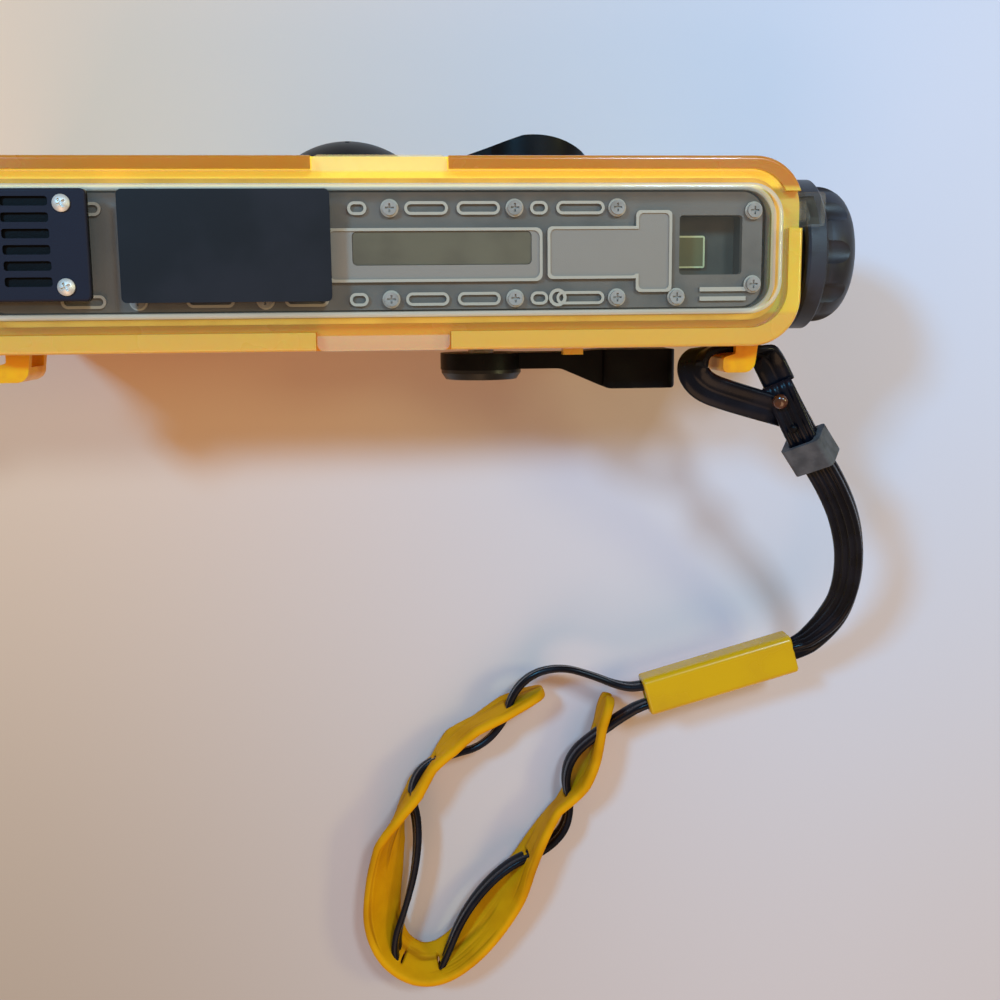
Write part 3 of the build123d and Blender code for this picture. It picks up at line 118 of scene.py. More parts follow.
class Graph:
    """The node tree of one material, with its surface shader."""

    def __init__(self, name: str) -> None:
        """Starts an empty material with a Principled shader."""
        self.material = bpy.data.materials.new(name)
        self.material.use_nodes = True
        self.tree = self.material.node_tree
        self.shader = self.tree.nodes["Principled BSDF"]

    def add(self, kind: str, settings: dict | None = None, inputs: dict | None = None, output: int | str = 0) -> Term:
        """Makes a node, sets it and links or fills its sockets.

        Args:
            kind: The node's type.
            settings: Its attributes; "stops" gives a ramp's positions and colours.
            inputs: Values or terms, by socket name or number.
            output: The output that the term stands for.

        Returns:
            The node's output as a term.
        """
        node = self.tree.nodes.new(kind)
        for key, value in (settings or {}).items():
            if key == "stops":
                ramp = node.color_ramp.elements
                while len(ramp) < len(value):
                    ramp.new(0.5)
                for element, (place, colour) in zip(ramp, value):
                    element.position = place
                    element.color = (*colour, 1.0)
            else:
                setattr(node, key, value)
        for key, value in (inputs or {}).items():
            self.feed(node.inputs[key], value)
        return Term(self, node.outputs[output])

    def feed(self, socket: bpy.types.NodeSocket, value: object) -> None:
        """Links a term to a socket, or sets a plain value on it."""
        if isinstance(value, Term):
            self.tree.links.new(value.socket, socket)
        elif isinstance(value, tuple) and len(value) == 3 and len(socket.default_value) == 4:
            socket.default_value = (*value, 1.0)
        else:
            socket.default_value = value

    def surface(self, **values: object) -> None:
        """Feeds the shader's sockets; an underscore in a name stands for a space."""
        for key, value in values.items():
            self.feed(self.shader.inputs[key.replace("_", " ")], value)

    def place(self) -> Term:
        """The piece's own coordinates."""
        return self.add("ShaderNodeTexCoord", output="Object")

    def noise(self, scale: float, detail: float = 3.0, stretch: Point = (1, 1, 1), source: Term | None = None) -> Term:
        """A noise value between 0 and 1.

        Args:
            scale: Waves per metre.
            detail: How many finer layers it has.
            stretch: The pattern's scale along each axis.
            source: The coordinates, or none for the piece's own.

        Returns:
            The noise as a term.
        """
        turned = self.add("ShaderNodeMapping", None, {"Vector": source or self.place(), "Scale": stretch})
        return self.add("ShaderNodeTexNoise", None, {"Vector": turned, "Scale": scale, "Detail": detail})

    def blend(self, factor: Term | float, first: "Term | Colour", second: "Term | Colour") -> Term:
        """A mix of two colours."""
        return self.add("ShaderNodeMix", {"data_type": "RGBA"}, {0: factor, 6: first, 7: second}, output=2)

    def steps(self, value: Term, low: float, high: float) -> Term:
        """A smooth step of a value from 0 at low to 1 at high."""
        settings = {"interpolation_type": "SMOOTHSTEP"}
        return self.add("ShaderNodeMapRange", settings, {"Value": value, "From Min": low, "From Max": high})

    def bump(self, height: Term, depth: float, below: Term | None = None) -> Term:
        """A bumped normal from a height and its depth in metres."""
        inputs = {"Height": height, "Distance": depth, "Strength": 1.0}
        if below is not None:
            inputs["Normal"] = below
        return self.add("ShaderNodeBump", None, inputs)

    def axis(self, source: Term, index: int) -> Term:
        """One coordinate of a vector."""
        return self.add("ShaderNodeSeparateXYZ", None, {"Vector": source}, output=index)


@dataclass(frozen=True)
class Finish:
    """A moulded or coated surface with a fine grain and a slow change of tone.

    Attributes:
        name: The material's name.
        colour: Its main colour.
        shade: The colour of its darker patches.
        roughness: How dull it is where it is clean.
        wear: How much duller its handled patches are.
        patch: Patches per metre.
        grain: Grains per metre of its fine relief.
        depth: The depth of that relief in metres.
        metallic: 1 for a bare metal.
        coat: The strength of a glossy skin.
        shine: The strength of its plain reflection.
        glow: How much light passes through its edges.
    """

    name: str
    colour: Colour
    shade: Colour
    roughness: float = 0.4
    wear: float = 0.12
    patch: float = 60.0
    grain: float = 2600.0
    depth: float = 0.00002
    metallic: float = 0.0
    coat: float = 0.0
    shine: float = 0.5
    glow: float = 0.0

    def build(self) -> bpy.types.Material:
        """Makes the material with its colour, gloss and relief."""
        graph = Graph(self.name)
        patches = graph.steps(graph.noise(self.patch), 0.38, 0.72)
        self.colours(graph, patches)
        graph.surface(Roughness=patches * self.wear + self.roughness, Metallic=self.metallic)
        graph.surface(Coat_Weight=self.coat, Coat_Roughness=0.08, Specular_IOR_Level=self.shine)
        graph.surface(Subsurface_Weight=self.glow, Subsurface_Scale=3.0 * MM)
        graph.surface(Normal=self.relief(graph))
        return graph.material

    def colours(self, graph: Graph, patches: Term) -> None:
        """Feeds the base colour from the patches."""
        graph.surface(Base_Color=graph.blend(patches, self.colour, self.shade))

    def relief(self, graph: Graph) -> Term:
        """The bumped normal of the fine grain."""
        return graph.bump(graph.noise(self.grain, 2.0), self.depth)


@dataclass(frozen=True)
class ShellFinish(Finish):
    """The case's glossy yellow, with painted shade and painted light on its rim, its ledge and its walls.

    The ledge along the top controls lies in the rim's shadow; it is painted bright and given a painted glow, standing
    in for light that passes through the clear rim.

    Attributes:
        rim_top_painted_shade: Painted shade: the rim's darker amber along the top controls.
        rim_low_painted_light: Painted light: the rim's paler yellow along the strap's side.
        ledge_top_painted_light: Painted light: the ledge's bright yellow along the top controls, which also feeds its
            painted glow.
        ledge_low_painted_shade: Painted shade: the ledge's amber along the strap's side.
        floorward_painted_shade: Painted shade: the darker amber that the walls take towards the front, down near the
            floor.
    """

    rim_top_painted_shade: Colour = (0.5, 0.2, 0.01)
    rim_low_painted_light: Colour = (0.8, 0.5, 0.1)
    ledge_top_painted_light: Colour = (0.9, 0.6, 0.06)
    ledge_low_painted_shade: Colour = (0.6, 0.27, 0.04)
    floorward_painted_shade: Colour = (0.5, 0.2, 0.01)

    def colours(self, graph: Graph, patches: Term) -> None:
        """Feeds a colour with painted shade and painted light over the rim, the ledge and the walls, and a painted
        glow on the ledge.
        """
        place = graph.place()
        across, level = graph.axis(place, 1), graph.axis(place, 2)
        rim = graph.steps(level, 60.0 * MM, 60.6 * MM)
        ledge = graph.steps(level, 57.6 * MM, 58.2 * MM) * (1.0 - rim)
        topward = graph.steps(across, 12.5 * MM, 13.6 * MM)
        downward = 1.0 - graph.steps(across, -14.0 * MM, -13.0 * MM)
        colour = graph.blend(patches, self.colour, self.shade)
        # Painted shade: the walls turn a darker amber towards the front, which lies on the floor.
        colour = graph.blend((1.0 - graph.steps(level, 12 * MM, 56 * MM)) * 0.35, colour, self.floorward_painted_shade)
        # Painted shade and painted light: the rim and the ledge take a shaded tone on one side and a paler tone on the
        # other.
        for share, tone in ((topward * rim, self.rim_top_painted_shade), (downward * rim, self.rim_low_painted_light),
                            (topward * ledge, self.ledge_top_painted_light), (downward * ledge, self.ledge_low_painted_shade)):
            colour = graph.blend(share * 0.9, colour, tone)
        # Painted glow: the ledge along the top controls emits its own yellow, standing in for light through the clear
        # rim.
        ledge_painted_glow = graph.blend(topward * ledge, (0.0, 0.0, 0.0), self.ledge_top_painted_light)
        graph.surface(Base_Color=colour, Emission_Color=ledge_painted_glow, Emission_Strength=0.42)


@dataclass(frozen=True)
class StepFinish(Finish):
    """A moulding painted by height, level by level: its low floors darker as painted shade, its raised parts paler as
    a painted highlight.

    Attributes:
        levels: Heights in millimetres, each with the painted tone that starts there.
    """

    levels: tuple[tuple[float, Colour], ...] = ()

    def colours(self, graph: Graph, patches: Term) -> None:
        """Feeds the painted shade and painted highlight that step up with the height."""
        graph.surface(Base_Color=self.stepped(graph, patches))

    def stepped(self, graph: Graph, patches: Term) -> Term:
        """The painted tone that each level takes."""
        level = graph.axis(graph.place(), 2)
        colour = graph.blend(patches, self.colour, self.shade)
        for height, tone in self.levels:
            colour = graph.blend(graph.steps(level, (height - 0.04) * MM, height * MM), colour, tone)
        return colour


@dataclass(frozen=True)
class EyepieceFinish(StepFinish):
    """The finder's back lens: dark glass whose raised middle has a painted highlight along its edge.

    Attributes:
        middle: The middle of the raised part and its height, in millimetres.
        reach: Half its length and half its height, in millimetres.
        edge: The colour of the painted highlight along the edge.
    """

    middle: Point = (67.6, -0.2, 52.6)
    reach: tuple[float, float] = (3.6, 3.5)
    edge: Colour = (0.5, 0.48, 0.2)

    def colours(self, graph: Graph, patches: Term) -> None:
        """Feeds the stepped colour with the painted highlight drawn along the edge."""
        place = graph.place()
        colour = self.stepped(graph, patches)
        inside: Term | float = 1.0
        for index, half in enumerate(self.reach):
            out = abs(graph.axis(place, index) - self.middle[index] * MM)
            inside = inside * (1.0 - graph.steps(out, (half - 0.42) * MM, (half - 0.34) * MM))
        raised = graph.steps(graph.axis(place, 2), (self.middle[2] - 0.3) * MM, (self.middle[2] - 0.2) * MM)
        # Painted highlight: a bright line just inside the raised middle's outline.
        graph.surface(Base_Color=graph.blend(raised * (1.0 - inside), colour, self.edge))


@dataclass(frozen=True)
class ClearFinish(Finish):
    """Clear plastic that shows what is under it and whitens where it is seen edge on."""

    alpha: float = 0.012
    rim: float = 0.3

    def build(self) -> bpy.types.Material:
        """Makes the material with more body at its slanting faces."""
        graph = Graph(self.name)
        facing = graph.add("ShaderNodeLayerWeight", None, {"Blend": 0.35}, output="Facing")
        haze = graph.steps(graph.noise(self.patch), 0.45, 0.8)
        graph.surface(Base_Color=graph.blend(haze, self.colour, self.shade))
        graph.surface(Alpha=facing * self.rim + haze * 0.015 + self.body(graph) + self.alpha)
        graph.surface(Roughness=self.roughness, IOR=1.52, Coat_Weight=self.coat, Coat_Roughness=0.02)
        graph.surface(Normal=self.relief(graph))
        return graph.material

    def body(self, graph: Graph) -> Term | float:
        """More body where the piece is thick; none here."""
        return 0.0


@dataclass(frozen=True)
class CoverFinish(ClearFinish):
    """The clear cover, with a painted highlight along the edge of its window, and whiter at its two grips.

    Attributes:
        window: Half the window's length and height, and its corner radius, in millimetres.
        middle: The height of the case's middle, in millimetres.
    """

    window: Point = (85.4, 13.7, 7.0)
    middle: float = -0.6

    def body(self, graph: Graph) -> Term | float:
        """A painted highlight as a pale line round the window, and the thick grips."""
        place = graph.place()
        along, across = graph.axis(place, 0), graph.axis(place, 1)
        length, height, corner = self.window
        out = along.beyond((length - corner) * MM) ** 2.0 + across.beyond((height - corner) * MM) ** 2.0
        reach = out ** 0.5
        # Painted highlight: a pale line just inside the window's edge.
        line = graph.steps(reach, (corner - 1.3) * MM, (corner - 0.9) * MM)
        line = line * (1.0 - graph.steps(reach, (corner - 0.1) * MM, (corner + 0.1) * MM))
        grips = graph.steps(abs(across - self.middle * MM), 16.8 * MM, 17.1 * MM)
        return line * 0.42 + grips * 0.13


@dataclass(frozen=True)
class BrushedFinish(Finish):
    """Plated steel with fine marks along one way."""

    stretch: Point = (1, 14, 14)

    def relief(self, graph: Graph) -> Term:
        """The bumped normal of the brush marks."""
        return graph.bump(graph.noise(self.grain, 2.0, self.stretch), self.depth)


@dataclass(frozen=True)
class VinylFinish(Finish):
    """Soft glossy vinyl, with a lengthwise draw in its skin."""

    def relief(self, graph: Graph) -> Term:
        """A normal drawn out along the strand's own length."""
        along = graph.add("ShaderNodeTexCoord", output="UV")
        drawn = graph.noise(1.0, 3.0, (60.0, 900.0, 1.0), along)
        return graph.bump(graph.noise(self.grain, 2.0), self.depth, graph.bump(drawn, self.depth * 3))


@dataclass(frozen=True)
class FoamFinish(Finish):
    """Soft foamed vinyl with lengthwise creases and fine open cells."""

    # Painted shade: the colour that the creases take.
    crease_painted_shade: Colour = (0.4, 0.15, 0.0)

    def colours(self, graph: Graph, patches: Term) -> None:
        """Feeds a colour with painted shade in the creases."""
        base = graph.blend(patches, self.colour, self.shade)
        # Painted shade: the folds darken towards the colour of the creases.
        graph.surface(Base_Color=graph.blend(self.folds(graph) * 0.75, base, self.crease_painted_shade))

    def folds(self, graph: Graph) -> Term:
        """Creases that run with the pad's length."""
        along = graph.add("ShaderNodeTexCoord", output="UV")
        folds = graph.noise(1.0, 2.0, (28.0, 260.0, 1.0), along)
        return graph.steps(folds, 0.52, 0.72)

    def relief(self, graph: Graph) -> Term:
        """The cells over the creases."""
        cells = graph.noise(3200.0, 2.0)
        return graph.bump(cells, self.depth, graph.bump(1.0 - self.folds(graph), 0.0003))


# The shell's rim, ledge and wall tones are painted shade and painted light, and its ledge has a painted glow.
YELLOW = ShellFinish("yellow_case", paint(240, 198, 76), paint(234, 186, 62), 0.22, 0.10, 45.0, 900.0, 0.000012,
                     coat=0.5, glow=0.5, rim_top_painted_shade=paint(198, 114, 16), rim_low_painted_light=paint(228, 174, 78),
                     ledge_top_painted_light=paint(255, 214, 72), ledge_low_painted_shade=paint(238, 152, 34), floorward_painted_shade=paint(186, 112, 14))
FINISHES: dict[str, Finish] = {
    "yellow_shell": YELLOW,
    "amber_lug": Finish("amber_lug", paint(244, 172, 0), paint(220, 140, 0), 0.3, 0.1, 160.0, coat=0.15,
                        glow=0.3),
    "clear_cover": CoverFinish("clear_cover", paint(240, 234, 216), paint(226, 218, 196), 0.06, patch=30.0,
                               grain=120.0, depth=0.00001, coat=0.6),
    "clear_pane": ClearFinish("clear_pane", paint(220, 226, 230), paint(206, 212, 216), 0.05, patch=30.0,
                              grain=90.0, depth=0.00001, coat=1.0, alpha=0.16),
    "smoke_window": Finish("smoke_window", paint(104, 98, 80), paint(86, 80, 66), 0.12, 0.05, 80.0, 500.0,
                           0.000006, coat=0.8),
    # Painted highlight and shade: the door's raised levels are paler and its floor darker.
    "grey_door": StepFinish("grey_door", paint(106, 96, 86), paint(90, 82, 74), 0.42, 0.16, 90.0, 4200.0, 0.00003,
                            levels=((59.4, paint(144, 132, 120)), (59.78, paint(184, 172, 154)))),
    "dark_plate": Finish("dark_plate", paint(20, 19, 23), paint(30, 28, 34), 0.46, 0.12, 50.0, 5200.0, 0.000012,
                         shine=0.25),
    "black_plastic": Finish("black_plastic", paint(8, 8, 11), paint(15, 15, 19), 0.36, 0.16, 90.0, 3000.0, 0.00003,
                            shine=0.12),
    "dull_steel": Finish("dull_steel", paint(166, 158, 150), paint(138, 130, 122), 0.4, 0.14, 300.0, 3000.0, 0.00001,
                         shine=0.3),
    # Painted shade: the leaf's slot floors below 65.6 mm stay near black, its top is paler.
    "leaf_plastic": StepFinish("leaf_plastic", paint(4, 4, 5), paint(8, 8, 9), 0.42, 0.12, 90.0, 3000.0, 0.00003,
                               shine=0.12, levels=((65.6, paint(34, 34, 46)),)),
    "knob_plastic": Finish("knob_plastic", paint(24, 27, 34), paint(42, 46, 58), 0.4, 0.18, 120.0, 3000.0, 0.00003),
    "cap_metal": Finish("cap_metal", paint(12, 12, 13), paint(24, 24, 26), 0.28, 0.14, 160.0, 2400.0, 0.00001),
    "black_chassis": Finish("black_chassis", paint(38, 37, 36), paint(54, 52, 50), 0.55, 0.12, 90.0, 3000.0, 0.00004),
    "olive_rubber": Finish("olive_rubber", paint(250, 180, 44), paint(238, 164, 36), 0.6, 0.1, 120.0, 3600.0, 0.00003),
    "black_rubber": Finish("black_rubber", paint(26, 26, 26), paint(36, 36, 36), 0.62, 0.1, 120.0, 3600.0, 0.00003),
    "grey_rubber": Finish("grey_rubber", paint(84, 85, 88), paint(62, 63, 66), 0.62, 0.14, 260.0, 3000.0, 0.00006),
    "black_vinyl": VinylFinish("black_vinyl", paint(10, 12, 19), paint(18, 21, 31), 0.22, 0.1, 120.0, 2400.0,
                               0.00001, shine=0.18),
    # The pad's creases are painted shade.
    "yellow_pad": FoamFinish("yellow_pad", paint(224, 156, 0), paint(208, 140, 0), 0.7, 0.12, 90.0, 3200.0,
                             0.00004, shine=0.12, crease_painted_shade=paint(170, 104, 0)),
    "yellow_sleeve": Finish("yellow_sleeve", paint(214, 166, 6), paint(202, 152, 4), 0.24, 0.12, 70.0, 1400.0,
                            0.00002, coat=0.25),
    "rivet_brass": Finish("rivet_brass", paint(84, 40, 20), paint(56, 26, 14), 0.14, 0.1, 400.0, 2000.0, 0.00001,
                          coat=0.8),
    "bright_steel": BrushedFinish("bright_steel", paint(232, 228, 220), paint(206, 200, 190), 0.42, 0.14, 300.0,
                                  3000.0, 0.00001, metallic=0.6),
    "reflector_chrome": BrushedFinish("reflector_chrome", paint(226, 226, 228), paint(206, 206, 208), 0.08, 0.04,
                                      metallic=1.0, depth=0.000004),
    "tube_glass": ClearFinish("tube_glass", paint(236, 236, 238), paint(220, 220, 222), 0.03, alpha=0.3),
    "lens_glass": ClearFinish("lens_glass", paint(196, 204, 220), paint(170, 180, 204), 0.03, alpha=0.35, coat=1.0),
    # The eyepiece's edge colour is a painted highlight, its raised level a paler painted tone.
    "eyepiece": EyepieceFinish("eyepiece", paint(74, 72, 64), paint(88, 85, 74), 0.14, 0.05, 120.0, 900.0, 0.00001,
                               shine=0.35, levels=((52.3, paint(106, 101, 66)),), edge=paint(206, 202, 150)),
    "battery_case": Finish("battery_case", paint(66, 68, 76), paint(52, 54, 60), 0.3, 0.1, 90.0, 2000.0, 0.00001,
                           metallic=0.6),
    "can_aluminium": BrushedFinish("can_aluminium", paint(178, 178, 182), paint(158, 158, 160), 0.3, 0.1,
                                   metallic=1.0),
    "board": Finish("board", paint(52, 96, 58), paint(38, 78, 46), 0.4, 0.1, 240.0, 2600.0, 0.00005),
    "white_gear": Finish("white_gear", paint(224, 222, 212), paint(206, 202, 190), 0.42, 0.1, 120.0, 2600.0, 0.00002),
}


@dataclass
class Palette:
    """The finishes as materials, each made once, when a piece first asks for it."""

    made: dict[str, bpy.types.Material] = field(default_factory=dict)

    def get(self, slot: str) -> bpy.types.Material:
        """The material of a record slot."""
        if slot not in self.made:
            self.made[slot] = FINISHES[slot].build()
        return self.made[slot]


class Section(Enum):
    """The cross sections of the strap's strands, as half outlines in millimetres."""

    STRAND = ((2.9, 0.55), (2.75, 0.85), (2.35, 1.0), (0.75, 1.0), (0.45, 0.8), (0.0, 0.75))
    LOOP = ((3.6, 0.55), (3.45, 0.85), (3.0, 1.0), (0.95, 1.0), (0.6, 0.75), (0.0, 0.7))
    DOUBLE = ((3.1, 0.0), (2.9, 0.18), (3.35, 0.5), (3.4, 1.5), (3.1, 2.0), (2.5, 2.15), (2.05, 1.95), (1.75, 1.4),
              (1.4, 1.95), (0.9, 2.15), (0.25, 1.95), (0.0, 1.35))

    def outline(self, scale: float = 1.0) -> list[Vector]:
        """The closed outline, mirrored about both axes.

        Args:
            scale: A factor on the whole section.

        Returns:
            Points in metres, in order round the section.
        """
        corner = [Vector((x, y)) for x, y in self.value]
        if corner[0].y > 0:
            corner.insert(0, Vector((corner[0].x + 0.1, 0.0)))
        upper = corner + [Vector((-p.x, p.y)) for p in reversed(corner[:-1])]
        lower = [Vector((p.x, -p.y)) for p in reversed(upper[1:-1])]
        return [p * MM * scale for p in upper + lower]


@dataclass
class Route:
    """A line through the strap's control points, and the way its width lies."""

    points: tuple[Point, ...]
    widths: tuple[Point, ...]

    def line(self) -> list[Vector]:
        """The smooth line that the control points pull.

        Returns:
            The points of the spline, in metres.
        """
        curve = bpy.data.curves.new("route", "CURVE")
        curve.dimensions = "3D"
        spline = curve.splines.new("NURBS")
        spline.points.add(len(self.points) - 1)
        for knot, (x, y, z) in zip(spline.points, self.points):
            knot.co = (x * MM, y * MM, z * MM, 1.0)
        spline.order_u = 3
        spline.use_endpoint_u = True
        spline.resolution_u = 10
        holder = bpy.data.objects.new("route", curve)
        mesh = bpy.data.meshes.new_from_object(holder)
        line = [vertex.co.copy() for vertex in mesh.vertices]
        bpy.data.objects.remove(holder)
        bpy.data.curves.remove(curve)
        bpy.data.meshes.remove(mesh)
        return line

    def frames(self, line: list[Vector], before: float = 0.0, after: float = 0.0, thin: float = 1.0,
               slim: float = 1.0) -> list[Matrix]:
        """A frame at each point of the line: X across the strand, Y through it, Z along it.

        Args:
            line: The points that the frames stand on.
            before: How far the strand tucks in ahead of the line, in millimetres.
            after: How far it tucks in past the line's end, in millimetres.
            thin: The share of its thickness that it starts with.
            slim: The share of its width that it ends with.

        Returns:
            One matrix for each point.
        """
        frames = []
        last = len(line) - 1
        for index, here in enumerate(line):
            along = (line[min(index + 1, last)] - line[max(index - 1, 0)]).normalized()
            share = index / last * (len(self.widths) - 1)
            low = min(int(share), len(self.widths) - 2)
            width = Vector(self.widths[low]).lerp(Vector(self.widths[low + 1]), share - low)
            width = (width - along * width.dot(along)).normalized()
            through = along.cross(width) * min(1.0, thin + (1 - thin) * index / (last * 0.06))
            width *= min(1.0, slim + (1 - slim) * (last - index) / (last * 0.25))
            frames.append(Matrix.Translation(here) @ Matrix((width, through, along)).transposed().to_4x4())
        if before:
            frames.insert(0, frames[0] @ Matrix.Translation((0.0, 0.0, -before * MM)))
        if after:
            frames.append(frames[-1] @ Matrix.Translation((0.0, 0.0, after * MM)))
        return frames


def finished(name: str, body: bmesh.types.BMesh, material: bpy.types.Material, ride: str) -> bpy.types.Object:
    """Turns a bmesh into a piece of the object.

    Args:
        name: The piece's name.
        body: The mesh, which is freed.
        material: Its finish.
        ride: The CAD body that it moves with.

    Returns:
        The new object.
    """
    bmesh.ops.recalc_face_normals(body, faces=body.faces)
    mesh = bpy.data.meshes.new(name)
    body.to_mesh(mesh)
    body.free()
    mesh.materials.append(material)
    mesh.polygons.foreach_set("use_smooth", [True] * len(mesh.polygons))
    piece = bpy.data.objects.new(name, mesh)
    bpy.context.scene.collection.objects.link(piece)
    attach(piece, ride)
    LOG.info("%s: %d faces", name, len(mesh.polygons))
    return piece


def sweep(frames: list[Matrix], outline: list[Vector]) -> bmesh.types.BMesh:
    """Draws a closed outline along a row of frames, with closed ends and its own UV map.

    Args:
        frames: Where the outline stands, one after the other.
        outline: The section's points.

    Returns:
        The swept mesh; U runs along it and V round it.
    """
    body = bmesh.new()
    ring = [body.verts.new(frames[0] @ Vector((p.x, p.y, 0.0))) for p in outline]
    edges = [body.edges.new((a, b)) for a, b in zip(ring, ring[1:] + ring[:1])]
    first = body.faces.new(ring)
    uv = body.loops.layers.uv.new("UVMap")
    length = 0.0
    for before, after in zip(frames, frames[1:]):
        step = (after.translation - before.translation).length
        made = bmesh.ops.extrude_edge_only(body, edges=edges)["geom"]
        fresh = [item for item in made if isinstance(item, bmesh.types.BMVert)]
        bmesh.ops.transform(body, matrix=after @ before.inverted(), verts=fresh)
        sides = [item for item in made if isinstance(item, bmesh.types.BMFace)]
        moved = set(fresh)
        for face in sides:
            for loop in face.loops:
                loop[uv].uv.x = length + (step if loop.vert in moved else 0.0)
        edges = [item for item in made if isinstance(item, bmesh.types.BMEdge) and set(item.verts) <= moved]
        length += step
    bmesh.ops.contextual_create(body, geom=edges)
    count = len(outline)
    body.verts.index_update()
    for face in body.faces:
        if len(face.verts) == 4:
            turns = [loop.vert.index % count for loop in face.loops]
            wrap = max(turns) - min(turns) > 1
            for loop, turn in zip(face.loops, turns):
                loop[uv].uv.y = (count if wrap and turn == 0 else turn) / count * 0.016
    first.smooth = True
    return body


@dataclass
class WristStrap:
    """The vinyl strap: a loop in the lug, a doubled strand, a sleeve and a woven pad."""

    palette: Palette
    loop: Route = field(default_factory=lambda: Route(
        ((89.95, -28.85, 48.0), (88.2, -25.4, 48.0), (85.8, -21.5, 48.0), (73.6, -21.4, 48.0),
         (69.4, -25.4, 48.0), (71.8, -30.0, 48.0), (78.4, -32.6, 48.0), (88.0, -35.4, 48.0)),
        ((0.78, 0.42, 0.42), (0.78, 0.42, 0.42), (0.6, 0.4, 0.65), (0.05, 0.0, 1.0), (0.0, 0.0, 1.0), (0.0, 0.0, 1.0),
         (0.7, 0.15, 0.7), (0.85, 0.3, 0.45), (0.7, 0.6, 0.4), (0.4, 0.85, 0.35), (0.35, 0.85, 0.35),
         (0.38, 0.85, 0.35), (0.45, 0.8, 0.4))))
    band: Route = field(default_factory=lambda: Route(
        ((89.2, -29.65, 49.6), (95.7, -41.9, 49.0), (99.6, -47.5, 48.2), (104.4, -54.3, 46.2), (109.2, -62.2, 42.2),
         (113.0, -71.4, 36.8), (115.1, -81.1, 30.8), (115.0, -89.9, 24.9), (112.5, -97.1, 19.8),
         (108.0, -103.1, 15.8), (98.0, -105.8, 15.6)),
        ((0.78, 0.42, 0.42), (0.72, 0.38, 0.55), (0.8, 0.25, 0.5), (0.9, 0.05, 0.4), (0.85, -0.3, 0.4),
         (0.3, -0.4, 0.85), (-0.05, 0.15, 1.0))))
    cord: Route = field(default_factory=lambda: Route(
        ((73.6, -110.1, 15.6), (65.3, -112.3, 15.4), (60.0, -112.4, 13.5), (53.0, -109.7, 12.0),
         (45.1, -107.4, 10.8), (37.1, -109.1, 9.6), (31.7, -114.8, 8.6), (29.7, -122.7, 8.0), (23.5, -130.0, 7.6),
         (14.9, -132.2, 7.2), (7.1, -134.8, 7.0), (3.5, -142.0, 7.0), (5.5, -152.2, 7.0), (4.7, -163.9, 7.0),
         (1.9, -175.2, 7.0), (-1.4, -185.0, 7.0), (-0.8, -192.6, 7.0), (4.0, -198.2, 7.0), (9.8, -197.8, 7.0),
         (12.8, -190.6, 7.0), (17.1, -180.0, 7.0), (23.7, -170.8, 7.0), (31.5, -164.2, 7.0), (39.9, -161.2, 7.0),
         (46.2, -155.3, 7.0), (47.6, -147.6, 7.0), (46.0, -140.3, 7.0), (48.3, -133.0, 7.2), (55.2, -126.8, 8.8),
         (61.2, -121.0, 12.2), (66.4, -116.9, 15.2), (74.8, -114.5, 15.6)),
        ((0.0, 0.0, 1.0), (0.1, 0.2, 1.0), (0.0, 0.3, 1.0), (0.3, 0.2, 1.0), (-0.4, 0.0, 1.0), (0.0, 0.0, 1.0),
         (0.1, 0.0, 1.0), (0.1, 0.0, 1.0), (0.0, 0.0, 1.0))))
    pad: Route = field(default_factory=lambda: Route(
        ((40.5, -114.9, 7.0), (33.9, -117.5, 7.0), (26.4, -121.5, 7.0), (19.5, -125.5, 7.0), (14.0, -129.8, 7.0),
         (9.4, -135.3, 7.0), (4.9, -142.0, 7.0), (0.4, -148.6, 7.0), (-2.8, -156.1, 7.0), (-4.5, -164.8, 7.0),
         (-5.9, -173.6, 7.0), (-6.2, -181.1, 7.0), (-3.7, -189.0, 7.0), (1.7, -194.3, 7.0), (7.6, -195.7, 7.0),
         (13.9, -194.0, 7.0), (20.7, -188.6, 7.0), (26.7, -181.1, 7.0), (31.8, -172.7, 7.0), (35.3, -164.7, 7.0),
         (38.7, -157.5, 7.0), (43.4, -149.6, 7.0), (49.7, -142.6, 7.0), (53.6, -135.5, 7.0), (55.4, -128.4, 7.0),
         (56.8, -121.3, 7.0), (58.6, -116.8, 7.0)),
        ((0.0, 0.0, 1.0), (0.0, 0.0, 1.0))))
    pad_wide: float = 13.2
    pad_thick: float = 2.5
    lean: tuple[float, ...] = (4, -6, 2, -8, 6, -8, 6, 36, 46, 48, 44, 34, 30, 32, 38, 42, 36, 14, 2, -11, 8, 2, -4,
                               0)
    inset: tuple[float, ...] = (0, 0, 0, 0, 0.4, 1.2, 1.0, 0.4, 0, 0, 0)

    def build(self) -> None:
        """Makes the soft pieces in place of their plain solids, which it hides."""
        vinyl = self.palette.get("black_vinyl")
        loop_line, band_line, cord_line = self.loop.line(), self.band.line(), self.cord.line()
        loop = finished("strap_loop_ribbon", sweep(self.loop.frames(loop_line, 1.2, 4.0), Section.LOOP.outline()),
                        vinyl, "housing")
        band = finished("strap_band_ribbons", sweep(self.band.frames(band_line, thin=0.3, slim=0.8),
                                                      Section.DOUBLE.outline()), vinyl, "housing")
        cord = finished("wrist_cord_ribbon", sweep(self.cord.frames(cord_line), Section.STRAND.outline(0.86)), vinyl,
                        "housing")
        pad = self.weave(cord_line)
        for piece, node in ((loop, "strap_loop"), (band, "strap_band"), (cord, "wrist_cord"), (pad, "wrist_pad")):
            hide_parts(node)
        self.length(loop_line)
        self.length(band_line)
        self.length(cord_line)

    def length(self, line: list[Vector]) -> float:
        """The length of a line in metres."""
        return sum((b - a).length for a, b in zip(line, line[1:]))

